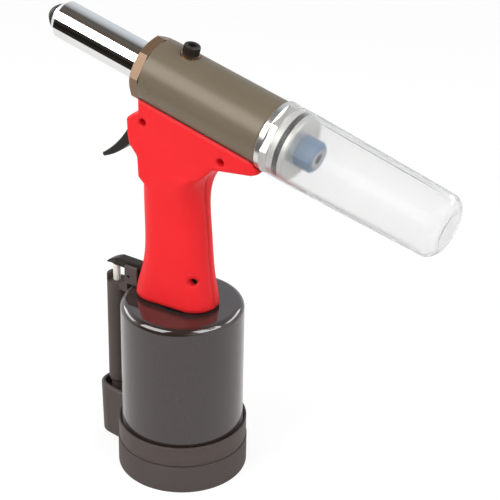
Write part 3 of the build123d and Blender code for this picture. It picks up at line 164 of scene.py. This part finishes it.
def mottle(tree, shader, place, size, colours, roughness):
    """Soft patches of this size in mm, between two colours and two roughness values."""
    patches = add_node(
        tree,
        "ShaderNodeTexNoise",
        {"Vector": place, "Scale": per_mm(size), "Detail": 5.0, "Roughness": 0.6},
    )
    tint = add_node(
        tree,
        "ShaderNodeMix",
        {0: patches.outputs["Fac"], 6: linear(colours[0]), 7: linear(colours[1])},
        data_type="RGBA",
    )
    gloss = add_node(
        tree,
        "ShaderNodeMapRange",
        {
            "Value": patches.outputs["Fac"],
            "From Min": NOISE_RANGE[0],
            "From Max": NOISE_RANGE[1],
            "To Min": roughness[0],
            "To Max": roughness[1],
        },
    )
    tree.links.new(tint.outputs[2], shader.inputs["Base Color"])
    tree.links.new(gloss.outputs["Result"], shader.inputs["Roughness"])
    return tint, gloss


def grain(tree, shader, place, size, depth, corner=0.0):
    """A fine even bump of this grain size and depth, with corners eased over this radius, all in mm."""
    texture = add_node(
        tree,
        "ShaderNodeTexNoise",
        {"Vector": place, "Scale": per_mm(size), "Detail": 3.0, "Roughness": 0.55},
    )
    bump = add_node(
        tree,
        "ShaderNodeBump",
        {"Strength": 1.0, "Distance": depth * MM, "Height": texture.outputs["Fac"]},
    )
    if corner > 0:
        eased = add_node(tree, "ShaderNodeBevel", {"Radius": corner * MM}, samples=CORNER_SAMPLES)
        tree.links.new(eased.outputs["Normal"], bump.inputs["Normal"])
    tree.links.new(bump.outputs["Normal"], shader.inputs["Normal"])


print("surface helpers ready")

# %% [markdown]
# ## Hard-anodised barrel
# The head is aluminium, turned on a lathe and hard-anodised, which grows a grey-brown oxide into the skin.
# The oxide is a dull ceramic, so most light comes back scattered, and only a weak soft gloss is left. The
# lathe's fine rings around the head axis are still there, so a wave along that axis bends the normals a
# little. The octagonal collar is milled after the turning: its flats are brighter, browner metal. A mask
# along the head axis tells the two apart.

# %% Hard-anodised aluminium
HEAD_TURN = (0.0, HEAD_TILT, 0.0)
# Where the collar starts on the head axis, in metres from the upright axis
COLLAR_START = 0.0186
# A wave texture of scale 1 has a band every 2 pi / 20 units
BAND_UNIT = 2 * math.pi / 20


def along_head(tree, place):
    """Object coordinates turned so that X runs along the head axis."""
    return add_node(tree, "ShaderNodeMapping", {"Vector": place, "Rotation": HEAD_TURN}).outputs["Vector"]


def turning_rings(tree, place, spacing):
    """A wave in bands across the head axis, this many millimetres apart."""
    return add_node(
        tree,
        "ShaderNodeTexWave",
        {
            "Vector": along_head(tree, place),
            "Scale": per_mm(spacing) * BAND_UNIT,
            "Distortion": 0.4,
            "Detail": 2.0,
        },
        wave_type="BANDS",
        bands_direction="X",
    )


def ring_bump(tree, shader, place, spacing, depth, strength):
    """Turning rings this far apart and this deep, in mm."""
    rings = turning_rings(tree, place, spacing)
    bump = add_node(
        tree,
        "ShaderNodeBump",
        {"Strength": strength, "Distance": depth * MM, "Height": rings.outputs["Fac"]},
    )
    tree.links.new(bump.outputs["Normal"], shader.inputs["Normal"])


def ahead_of(tree, place, start):
    """1 ahead of this place on the head axis, in metres, and 0 behind it."""
    split = add_node(tree, "ShaderNodeSeparateXYZ", {0: along_head(tree, place)})
    limit = start + HEAD_Z * math.sin(HEAD_TILT)
    return add_node(
        tree, "ShaderNodeMath", {0: split.outputs["X"], 1: limit}, operation="GREATER_THAN"
    ).outputs["Value"]


def second_finish(tree, shader, mask, tint, gloss, colour, roughness, metallic):
    """Another colour and roughness where the mask is 1. Metallic has the values for masks 0 and 1."""
    colours = add_node(
        tree, "ShaderNodeMix", {0: mask, 6: tint.outputs[2], 7: linear(colour)}, data_type="RGBA"
    )
    shine = add_node(
        tree,
        "ShaderNodeMapRange",
        {"Value": mask, "To Min": gloss.outputs["Result"], "To Max": roughness},
    )
    metal = add_node(
        tree, "ShaderNodeMapRange", {"Value": mask, "To Min": metallic[0], "To Max": metallic[1]}
    )
    tree.links.new(colours.outputs[2], shader.inputs["Base Color"])
    tree.links.new(shine.outputs["Result"], shader.inputs["Roughness"])
    tree.links.new(metal.outputs["Result"], shader.inputs["Metallic"])


def hard_anodised():
    """Grey-brown oxide with turning rings, and a brighter milled collar."""
    material, tree, shader, place = start_material(
        "hard_anodised_turned_aluminium", Specular_IOR_Level=0.16
    )
    tint, gloss = mottle(
        tree, shader, place, size=26, colours=("#726756", "#7c715f"), roughness=(0.27, 0.33)
    )
    milled = ahead_of(tree, place, COLLAR_START)
    second_finish(
        tree, shader, milled, tint, gloss, colour="#7d6550", roughness=0.25, metallic=(0.02, 0.28)
    )
    ring_bump(tree, shader, place, spacing=0.9, depth=0.01, strength=0.6)
    return material


finishes["anodised"] = hard_anodised()
print("made", finishes["anodised"].name)

# %% [markdown]
# ## Bright metals
# The rear ring is aluminium polished on the lathe, and the nose sleeve is ground steel with hard chrome
# over it. The filler screw's washer is copper, and inside are hardened steel, spring wire and brass. On a
# metal the reflections come from the colour and the roughness, and the IOR keeps its default. Turning rings
# stay on the polished ring, and the boss behind it is left as turned, greyer and duller. Both are drawn a
# little less metallic than clean metal, for the dull skin of bare aluminium. The chrome has no rings, only
# a faint haze, and the last of its front cone is blacked where the nosepiece screws in.

# %% Polished, chromed and plain metals
# Places on the head axis, in metres from the upright axis
RING_START = -0.0736
BLACK_FRONT = 0.0962
RING_STRENGTH = 0.5


def turned_metal(name, colours, roughness, spacing, depth):
    """A turned metal with rings this far apart and this deep, in mm."""
    material, tree, shader, place = start_material(name, Metallic=1.0)
    mottle(tree, shader, place, size=14, colours=colours, roughness=roughness)
    ring_bump(tree, shader, place, spacing, depth, RING_STRENGTH)
    return material


def ring_and_boss():
    """A dull turned boss, and a polished ring ahead of it."""
    material, tree, shader, place = start_material("polished_turned_aluminium")
    tint, gloss = mottle(
        tree, shader, place, size=14, colours=("#c2c1bd", "#cecdc9"), roughness=(0.38, 0.46)
    )
    ring = ahead_of(tree, place, RING_START)
    second_finish(
        tree, shader, ring, tint, gloss, colour="#dbdad7", roughness=0.2, metallic=(0.6, 0.85)
    )
    ring_bump(tree, shader, place, spacing=0.7, depth=0.006, strength=RING_STRENGTH)
    return material


def chromed_nose():
    """Chrome with a faint haze, and a dull black front."""
    material, tree, shader, place = start_material("hard_chrome_plate", Specular_IOR_Level=0.05)
    tint, gloss = mottle(
        tree, shader, place, size=18, colours=("#dfdfde", "#ececeb"), roughness=(0.05, 0.08)
    )
    front = ahead_of(tree, place, BLACK_FRONT)
    second_finish(
        tree, shader, front, tint, gloss, colour="#161514", roughness=0.4, metallic=(1.0, 0.0)
    )
    grain(tree, shader, place, size=3.0, depth=0.0006)
    return material


def ground_metal(name, colours, roughness, grain_size, depth):
    """A ground, drawn or plated metal with a fine grain."""
    material, tree, shader, place = start_material(name, Metallic=1.0)
    mottle(tree, shader, place, size=18, colours=colours, roughness=roughness)
    grain(tree, shader, place, grain_size, depth)
    return material


finishes["polished_alloy"] = ring_and_boss()
finishes["nose_chrome"] = chromed_nose()
finishes["tool_steel"] = turned_metal(
    "hardened_tool_steel",
    colours=("#8d8f93", "#a1a2a5"),
    roughness=(0.25, 0.36),
    spacing=0.8,
    depth=0.006,
)
finishes["spring_steel"] = ground_metal(
    "drawn_spring_wire",
    colours=("#6c6e73", "#8b8d90"),
    roughness=(0.28, 0.38),
    grain_size=0.5,
    depth=0.003,
)
finishes["copper"] = ground_metal(
    "soft_copper_sheet",
    colours=("#9c7a60", "#ae8b70"),
    roughness=(0.3, 0.42),
    grain_size=0.6,
    depth=0.004,
)
finishes["seat_brass"] = turned_metal(
    "turned_brass",
    colours=("#b99a55", "#cdb06b"),
    roughness=(0.2, 0.3),
    spacing=0.6,
    depth=0.006,
)
print("made", len(finishes), "metals")

# %% [markdown]
# ## Black finishes
# The cylinder is painted gloss black over aluminium, and its base casting is painted matt. The nosepiece,
# screws, pins and lever are steel with a thin black oxide, and the trigger is moulded nylon. What the eye
# reads is gloss: the cylinder mirrors the room at its edges, while the matt pieces only show a grain. A
# painted sheen, a painted highlight on the gloss paint, lightens it where the eye looks along the surface.

# %% Paint, oxide and nylon
# Spread of the painted sheen, a painted highlight that lightens gloss paint where the eye looks along it
PAINTED_SHEEN_SPREAD = 0.27


def black_finish(name, colours, roughness, grain_size, depth, gloss, corner=0.0, painted_sheen=0.0):
    """A dark finish with faint patches, a grain, eased corners and a painted sheen as highlight, sizes in
    mm.
    """
    material, tree, shader, place = start_material(
        name, Specular_IOR_Level=gloss, Sheen_Weight=painted_sheen, Sheen_Roughness=PAINTED_SHEEN_SPREAD
    )
    mottle(tree, shader, place, size=22, colours=colours, roughness=roughness)
    grain(tree, shader, place, grain_size, depth, corner)
    return material


finishes["black_gloss"] = black_finish(
    "gloss_black_enamel",
    colours=("#2f2420", "#352a26"),
    roughness=(0.05, 0.08),
    grain_size=4.0,
    depth=0.003,
    gloss=0.8,
    # A painted sheen, a painted highlight that lightens the cylinder's edges
    painted_sheen=1.0,
)
finishes["black_matte"] = black_finish(
    "matt_black_casting_paint",
    colours=("#534a47", "#5d5450"),
    roughness=(0.42, 0.52),
    grain_size=0.6,
    depth=0.03,
    gloss=0.12,
    corner=0.9,
)
finishes["black_steel"] = black_finish(
    "black_oxide_steel",
    colours=("#2b2421", "#352d29"),
    roughness=(0.34, 0.44),
    grain_size=0.5,
    depth=0.006,
    gloss=0.15,
)
finishes["trigger_black"] = black_finish(
    "moulded_black_nylon",
    colours=("#2b2826", "#34302e"),
    roughness=(0.3, 0.38),
    grain_size=0.5,
    depth=0.01,
    gloss=0.25,
)
print("made", len(finishes), "finishes")

# %% [markdown]
# ## Rubber
# The boot and the seals are moulded rubber. The boot is dull and a little brownish, with a coarse grain and
# eased corners, and dust in its pores gives it soft lighter patches. The seals are a denser rubber:
# darker, smoother and a little less dull.

# %% Moulded rubber
finishes["boot_rubber"] = black_finish(
    "moulded_boot_rubber",
    colours=("#524a48", "#5c5452"),
    roughness=(0.55, 0.66),
    grain_size=0.7,
    depth=0.035,
    gloss=0.12,
    corner=0.9,
)
finishes["seal_rubber"] = black_finish(
    "nitrile_seal_rubber",
    colours=("#0c0c0d", "#141415"),
    roughness=(0.45, 0.55),
    grain_size=0.8,
    depth=0.01,
    gloss=0.1,
)
print("made", len(finishes), "finishes")

# %% [markdown]
# ## Plastics
# The grip halves are moulded ABS: strong red right through, with the fine spark-eroded texture of the
# mould. Their corners are eased over 4 mm, which also softens the parting line where the halves meet. The
# valve stem is natural acetal, a milky ivory that lets a little light in. The guide in the tail is
# blue-grey nylon. Plastics have an IOR near 1.5 and no metallic part.

# %% Moulded plastics
PLASTIC_IOR = 1.52
# How far light spreads under the skin, in metres, and its share for red, green and blue
SPREAD_SCALE = 0.002
SPREAD_RADIUS = (1.0, 0.5, 0.4)


def moulded_plastic(name, colours, roughness, grain_size, depth, gloss, glow=0.0, corner=0.0):
    """A moulded plastic with a grain and eased corners, in mm, that light may enter a little."""
    material, tree, shader, place = start_material(
        name,
        IOR=PLASTIC_IOR,
        Specular_IOR_Level=gloss,
        Subsurface_Weight=glow,
        Subsurface_Scale=SPREAD_SCALE,
        Subsurface_Radius=SPREAD_RADIUS,
    )
    mottle(tree, shader, place, size=30, colours=colours, roughness=roughness)
    grain(tree, shader, place, grain_size, depth, corner)
    return material


finishes["grip_red"] = moulded_plastic(
    "moulded_red_abs",
    colours=("#f6262c", "#fa2c31"),
    roughness=(0.42, 0.5),
    grain_size=0.5,
    depth=0.012,
    gloss=0.12,
    corner=4.0,
)
finishes["stem_ivory"] = moulded_plastic(
    "natural_acetal",
    colours=("#f3eee1", "#f8f4ea"),
    roughness=(0.3, 0.38),
    grain_size=0.6,
    depth=0.006,
    gloss=0.5,
    glow=0.3,
)
finishes["guide_grey"] = moulded_plastic(
    "blue_grey_nylon",
    colours=("#5d7591", "#6c839d"),
    roughness=(0.42, 0.5),
    grain_size=0.6,
    depth=0.008,
    gloss=0.15,
)
print("made", len(finishes), "finishes")

# %% [markdown]
# ## Frosted collector
# The cup for spent mandrels is blown polypropylene: clear, with a milky haze. Most light goes through,
# slightly spread by the surface, and a little is scattered white. The skin of a blown cup is too uneven to
# mirror a lamp, so its reflections are toned down. The wall is a closed solid in CAD, so the shader can
# refract at both of its faces.

# %% Hazy polypropylene
POLYPROPYLENE_IOR = 1.49
TONED_REFLECTION = (0.12, 0.12, 0.12, 1.0)


def hazy_polypropylene():
    """A clear plastic with a haze and weak reflections."""
    material, tree, shader, place = start_material(
        "hazy_blown_polypropylene",
        IOR=POLYPROPYLENE_IOR,
        Specular_Tint=TONED_REFLECTION,
        Transmission_Weight=0.95,
    )
    mottle(tree, shader, place, size=40, colours=("#f8f8f8", "#fcfcfc"), roughness=(0.13, 0.17))
    grain(tree, shader, place, size=6.0, depth=0.006)
    return material


finishes["collector_frost"] = hazy_polypropylene()
print("made", finishes["collector_frost"].name)

# %% [markdown]
# ## Dress the CAD nodes
# Each CAD node keeps its shape, and its record says which slot it takes its finish from. The node's own
# material slots get the new material, and the mesh is left alone.

# %% Assign the finishes
for subpart in record["subparts"]:
    node = nodes[subpart["node"]]
    finish = finishes[subpart["material_slot"]]
    if not node.material_slots:
        node.data.materials.append(finish)
    for slot in node.material_slots:
        slot.material = finish
print("dressed", len(record["subparts"]), "nodes with", len(finishes), "finishes")

# %% [markdown]
# ## Knurled screw head
# The oil filler screw on the head is a socket head screw. The side of such a head is knurled, with fine
# straight ridges that fingers can turn. They repeat by a rule, so Geometry Nodes make them: a small
# three-sided ridge stands at every point of a ring and is turned to face outwards. The ring is then put on
# the screw's axis, which leans back with the head.

# %% A tree that stands ridges around a ring
RIDGE_SIDES = 3


def knurl_tree():
    """Ridges around a ring about Z, with named sizes."""
    tree = bpy.data.node_groups.new("knurl", "GeometryNodeTree")
    tree.interface.new_socket("Geometry", in_out="OUTPUT", socket_type="NodeSocketGeometry")
    for name, kind in (
        ("Count", "NodeSocketInt"),
        ("Ring Radius", "NodeSocketFloat"),
        ("Ridge Radius", "NodeSocketFloat"),
        ("Ridge Length", "NodeSocketFloat"),
        ("Middle", "NodeSocketVector"),
        ("Finish", "NodeSocketMaterial"),
    ):
        tree.interface.new_socket(name, in_out="INPUT", socket_type=kind)
    sizes = add_node(tree, "NodeGroupInput").outputs
    ring = add_node(
        tree, "GeometryNodeMeshCircle", {"Vertices": sizes["Count"], "Radius": sizes["Ring Radius"]}
    )
    ridge = add_node(
        tree,
        "GeometryNodeMeshCylinder",
        {"Vertices": RIDGE_SIDES, "Radius": sizes["Ridge Radius"], "Depth": sizes["Ridge Length"]},
    )
    outward = add_node(
        tree,
        "FunctionNodeAlignRotationToVector",
        {"Vector": add_node(tree, "GeometryNodeInputPosition").outputs["Position"]},
        axis="X",
        pivot_axis="Z",
    )
    stand = add_node(
        tree,
        "GeometryNodeInstanceOnPoints",
        {
            "Points": ring.outputs["Mesh"],
            "Instance": ridge.outputs["Mesh"],
            "Rotation": outward.outputs["Rotation"],
        },
    )
    lean = add_node(
        tree,
        "GeometryNodeTransform",
        {
            "Geometry": stand.outputs["Instances"],
            "Translation": sizes["Middle"],
            "Rotation": (0.0, -HEAD_TILT, 0.0),
        },
    )
    whole = add_node(tree, "GeometryNodeRealizeInstances", {"Geometry": lean.outputs["Geometry"]})
    dressed = add_node(
        tree, "GeometryNodeSetMaterial", {"Geometry": whole.outputs["Geometry"], "Material": sizes["Finish"]}
    )
    add_node(tree, "NodeGroupOutput", {"Geometry": dressed.outputs["Geometry"]})
    return tree


knurl = knurl_tree()
print("knurl tree with", len(knurl.nodes), "nodes")

# %% [markdown]
# ## From tree to piece
# A tree works as a modifier on an empty mesh. Its inputs are set by their identifiers, and the evaluated
# result becomes a plain mesh, because an exported piece keeps no modifier. The top of the screw is measured
# on its CAD node, so that the ridges sit on the head wherever the CAD puts it.

# %% Ridges on the oil screw
def grow(name, tree, sizes):
    """A plain mesh object made by a tree with these inputs."""
    piece = bpy.data.objects.new(name, bpy.data.meshes.new(name))
    scene.collection.objects.link(piece)
    modifier = piece.modifiers.new(name, "NODES")
    modifier.node_group = tree
    for item in tree.interface.items_tree:
        if item.in_out == "INPUT":
            modifier[item.identifier] = sizes[item.name]
    shape = piece.evaluated_get(bpy.context.evaluated_depsgraph_get())
    piece.data = bpy.data.meshes.new_from_object(shape)
    piece.modifiers.clear()
    return piece


HEAD_AXIS = Vector((math.cos(HEAD_TILT), 0.0, math.sin(HEAD_TILT)))
HEAD_UP = Vector((-math.sin(HEAD_TILT), 0.0, math.cos(HEAD_TILT)))
# Place of the screw on the head axis, and sizes of its head and ridges, in metres
SCREW_AXIS_AT = -0.0011
SCREW_HEAD_RADIUS = 0.005
SCREW_HEAD_HEIGHT = 0.006
RIDGE_COUNT = 40
RIDGE_RADIUS = 0.0004
RIDGE_SINK = 0.0002
RIDGE_LENGTH = 0.0042
head_origin = Vector((0.0, 0.0, HEAD_Z))
screw_top = max((vertex.co - head_origin).dot(HEAD_UP) for vertex in nodes["oil_screw"].data.vertices)
screw_middle = head_origin + HEAD_AXIS * SCREW_AXIS_AT + HEAD_UP * (screw_top - SCREW_HEAD_HEIGHT / 2)
ridges = grow(
    "oil_screw_knurl",
    knurl,
    {
        "Count": RIDGE_COUNT,
        "Ring Radius": SCREW_HEAD_RADIUS - RIDGE_SINK,
        "Ridge Radius": RIDGE_RADIUS,
        "Ridge Length": RIDGE_LENGTH,
        "Middle": screw_middle,
        "Finish": finishes["black_steel"],
    },
)
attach(ridges, "frame")
print("knurl of", len(ridges.data.polygons), "faces around", [round(value, 4) for value in screw_middle])

# %% [markdown]
# ## Spring copies
# The return spring and the valve spring get shorter as the tool works, which a rigid solid can't show. Each
# is copied to a piece that stands for it, held on the frame, and its CAD node is hidden. Here the copy
# keeps its CAD length.


def squeezed_spring(node_name):
    """A copy of a wound spring, held on the frame, that stands in for its hidden CAD node."""
    wire = bpy.data.objects.new(node_name + "_wire", nodes[node_name].data.copy())
    scene.collection.objects.link(wire)
    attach(wire, "frame")
    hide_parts(node_name)
    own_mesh(wire)


squeezed_spring("return_spring")
squeezed_spring("valve_spring")

# %% [markdown]
# ## Studio
# The tool stands on a white table before a white backdrop. What the chrome and the gloss paint mirror is
# the room around them, so the world is drawn as that room: dark in front, behind the camera, then a dim
# brown ceiling, then the white backdrop, with white walls at the sides. Only reflections see the room. The
# camera and the rays through the clear cup see plain white, and matt surfaces get an even light.

# %% The room that reflections see
# Brightness of the even light on matt surfaces
AMBIENT = 0.46
# Degrees from level in front, over the top, to level at the back, and the colour there
ROOM = (
    (0, "#332f2b"),
    (14, "#332f2b"),
    (17, "#3f3b39"),
    (62, "#645a51"),
    (75, "#645a51"),
    (83, "#69615b"),
    (93, "#5e5b55"),
    (102, "#696967"),
    (109, "#a0a2a5"),
    (122, "#c1c6c9"),
    (135, "#d6dbe2"),
    (147, "#dde3e9"),
    (180, "#e4e9ed"),
)
# How far sideways a ray must point before it sees the white side walls
SIDE_WALLS = (0.6, 0.85)
WALL_GLARE = (1.2, 1.2, 1.2, 1.0)


def room_colour(tree):
    """The room's colour in the direction of a ray."""
    ray = add_node(tree, "ShaderNodeTexCoord").outputs["Generated"]
    split = add_node(tree, "ShaderNodeSeparateXYZ", {0: ray})
    angle = add_node(
        tree, "ShaderNodeMath", {0: split.outputs["Z"], 1: split.outputs["Y"]}, operation="ARCTAN2"
    )
    share = add_node(tree, "ShaderNodeMath", {0: angle.outputs["Value"], 1: math.pi}, operation="DIVIDE")
    ramp = add_node(tree, "ShaderNodeValToRGB", {"Fac": share.outputs["Value"]})
    steps = ramp.color_ramp.elements
    while len(steps) < len(ROOM):
        steps.new(1.0)
    for step, (degrees, colour) in zip(steps, ROOM):
        step.position = degrees / 180
        step.color = linear(colour)
    sideways = add_node(tree, "ShaderNodeMath", {0: split.outputs["X"]}, operation="ABSOLUTE")
    wall = add_node(
        tree,
        "ShaderNodeMapRange",
        {"Value": sideways.outputs["Value"], "From Min": SIDE_WALLS[0], "From Max": SIDE_WALLS[1]},
    )
    return add_node(
        tree,
        "ShaderNodeMix",
        {0: wall.outputs["Result"], 6: ramp.outputs["Color"], 7: WALL_GLARE},
        data_type="RGBA",
    ).outputs[2]


def mirrored_rays(tree, path):
    """1 for rays off a mirror or gloss, 0 for the rest and for any that went through the clear cup."""
    outside = add_node(
        tree, "ShaderNodeMath", {0: path.outputs["Transmission Depth"], 1: 0.5}, operation="LESS_THAN"
    )
    return add_node(
        tree,
        "ShaderNodeMath",
        {0: outside.outputs["Value"], 1: path.outputs["Is Glossy Ray"]},
        operation="MULTIPLY",
    ).outputs["Value"]


world = bpy.data.worlds.new("white_studio")
world.use_nodes = True
scene.world = world
world_tree = world.node_tree
sky = world_tree.nodes["Background"]
world_path = add_node(world_tree, "ShaderNodeLightPath")
sky_colour = add_node(
    world_tree,
    "ShaderNodeMix",
    {0: mirrored_rays(world_tree, world_path), 6: linear("#ffffff"), 7: room_colour(world_tree)},
    data_type="RGBA",
)
world_tree.links.new(sky_colour.outputs[2], sky.inputs["Color"])
print("room drawn in", len(ROOM), "steps")

# %% [markdown]
# ## Backdrop
# A world of strength 1 is plain white to the camera, but as a lamp it would flood the tool with flat light.
# So the strength depends on the kind of ray: full for what is seen directly, in a mirror or through the cup,
# and less than half for the light on matt surfaces.

# %% White backdrop for the camera
def seen_white(tree, path):
    """A value that is 1 for camera, glossy and transmission rays, and 0 for the rest."""
    either = add_node(
        tree,
        "ShaderNodeMath",
        {0: path.outputs["Is Camera Ray"], 1: path.outputs["Is Glossy Ray"]},
        operation="MAXIMUM",
    )
    return add_node(
        tree,
        "ShaderNodeMath",
        {0: either.outputs["Value"], 1: path.outputs["Is Transmission Ray"]},
        operation="MAXIMUM",
    ).outputs["Value"]


sky_level = add_node(
    world_tree,
    "ShaderNodeMapRange",
    {"Value": seen_white(world_tree, world_path), "To Min": AMBIENT, "To Max": 1.0},
)
world_tree.links.new(sky_level.outputs["Result"], sky.inputs["Strength"])
print("backdrop ready")

# %% [markdown]
# ## Table
# The floor is a white table. It glows for the camera, in reflections and through the clear cup, so that it
# is white without more light on the tool, and its matt part keeps the soft shadow. The table ends about a
# third of a metre in front of the tool: past that, reflections see the dark floor of the room, which gives
# the chrome the lower half of its black band.

# %% White table
FLOOR_SIDE = 8.0
# Glow of the table as it is seen, and in reflections
FLOOR_GLOW = 0.82
FLOOR_GLARE = 0.75
# The white fades to the dark floor between these distances in front of the tool, in metres
TABLE_EDGE = (0.29, 0.34)
# The matt part, as it lights the tool and as it is seen
MATT_LIGHT = (0.8, 0.8, 0.8, 1.0)
MATT_SEEN = (0.26, 0.26, 0.26, 1.0)
DARK_FLOOR = "#2b2723"


def flat_sheet(name, corners):
    """A four-cornered stage sheet."""
    mesh = bpy.data.meshes.new(name)
    mesh.from_pydata(corners, [], [(0, 1, 2, 3)])
    sheet = bpy.data.objects.new(name, mesh)
    scene.collection.objects.link(sheet)
    return sheet


half = FLOOR_SIDE / 2
floor = flat_sheet("floor", [(-half, -half, 0), (half, -half, 0), (half, half, 0), (-half, half, 0)])
table_paint = bpy.data.materials.new("white_table")
table_paint.use_nodes = True
table = table_paint.node_tree
table.nodes.remove(table.nodes["Principled BSDF"])
floor.data.materials.append(table_paint)
table_path = add_node(table, "ShaderNodeLightPath")
floor_point = add_node(table, "ShaderNodeTexCoord").outputs["Object"]
floor_place = add_node(table, "ShaderNodeSeparateXYZ", {0: floor_point})
past_edge = add_node(
    table,
    "ShaderNodeMapRange",
    {"Value": floor_place.outputs["Y"], "From Min": TABLE_EDGE[0], "From Max": TABLE_EDGE[1]},
)
dark = add_node(
    table,
    "ShaderNodeMath",
    {0: past_edge.outputs["Result"], 1: mirrored_rays(table, table_path)},
    operation="MULTIPLY",
)
print("table edge at", TABLE_EDGE)

# %% [markdown]
# ## Glow and shadow on the table
# A white sheet under soft light still renders grey. More light would bleach the tool, so the table is two
# shaders added up: a matt one that takes the shadow, and a glow that lifts it to white where it is seen.

# %% The table's glow and its matt shadow catcher
white_rays = seen_white(table, table_path)
lit = add_node(table, "ShaderNodeMath", {0: white_rays, 1: dark.outputs["Value"]}, operation="SUBTRACT")
matt_colour = add_node(
    table,
    "ShaderNodeMix",
    {0: white_rays, 6: MATT_LIGHT, 7: MATT_SEEN},
    data_type="RGBA",
)
edge_colour = add_node(
    table,
    "ShaderNodeMix",
    {0: dark.outputs["Value"], 6: matt_colour.outputs[2], 7: linear(DARK_FLOOR)},
    data_type="RGBA",
)
matt = add_node(table, "ShaderNodeBsdfDiffuse", {"Color": edge_colour.outputs[2]})
glow_level = add_node(
    table,
    "ShaderNodeMapRange",
    {"Value": mirrored_rays(table, table_path), "To Min": FLOOR_GLOW, "To Max": FLOOR_GLARE},
)
shown_glow = add_node(
    table,
    "ShaderNodeMath",
    {0: lit.outputs["Value"], 1: glow_level.outputs["Result"]},
    operation="MULTIPLY",
)
glow = add_node(table, "ShaderNodeEmission", {"Strength": shown_glow.outputs["Value"]})
both = add_node(table, "ShaderNodeAddShader", {0: matt.outputs["BSDF"], 1: glow.outputs["Emission"]})
table.links.new(both.outputs["Shader"], table.nodes["Material Output"].inputs["Surface"])
print("white table ready")

# %% [markdown]
# ## Softboxes
# A large softbox stands on each side of the camera. The left one gives the white band along the chrome
# nose and most of the light on the grip. The right one gives the rim of the cylinder and the bright tail
# ring. A real softbox is much brighter than a white wall, and a mirror or gloss paint shows that, so each
# is a pair of lamps: one lights the surfaces at a plain level, and a brighter twin shows in reflections
# only. Two low strips further round carry the white line along the cylinder's rim out to its sides.

# %% Lamps
TOOL_MIDDLE = Vector((0.0, 0.0, 0.2))
# The glare twin stands this much nearer, so that its light lamp does not hide it
GLARE_LEAD = 0.01


def area_lamp(name, place, width, height, brightness):
    """A rectangular lamp of this brightness, facing the tool."""
    lamp = bpy.data.lights.new(name, "AREA")
    lamp.shape = "RECTANGLE"
    lamp.size = width
    lamp.size_y = height
    lamp.energy = brightness * math.pi * width * height
    holder = bpy.data.objects.new(name, lamp)
    scene.collection.objects.link(holder)
    holder.location = place
    holder.rotation_euler = (TOOL_MIDDLE - Vector(place)).to_track_quat("-Z", "Y").to_euler()
    return holder


def mirrored_panel(name, place, width, height, glare):
    """A bright panel that shows in reflections only."""
    panel = area_lamp(name, place, width, height, glare)
    panel.visible_diffuse = False
    panel.visible_transmission = False


def softbox(name, place, width, height, light, glare):
    """A softbox: its light on surfaces, and its glare in reflections, from just in front."""
    area_lamp(name + "_light", place, width, height, light).visible_glossy = False
    nearer = Vector(place) + (TOOL_MIDDLE - Vector(place)).normalized() * GLARE_LEAD
    mirrored_panel(name + "_glare", nearer, width, height, glare)


softbox("softbox_left", place=(0.35, 0.88, 0.90), width=1.0, height=0.8, light=3.3, glare=7.5)
softbox("softbox_right", place=(-0.95, 0.05, 0.85), width=0.9, height=0.8, light=2.5, glare=7.0)
mirrored_panel("strip_left", place=(1.05, 0.08, 0.62), width=0.9, height=0.3, glare=6.0)
mirrored_panel("strip_right", place=(-0.5, -0.85, 0.62), width=0.9, height=0.3, glare=6.0)
print("two softboxes and two strips")
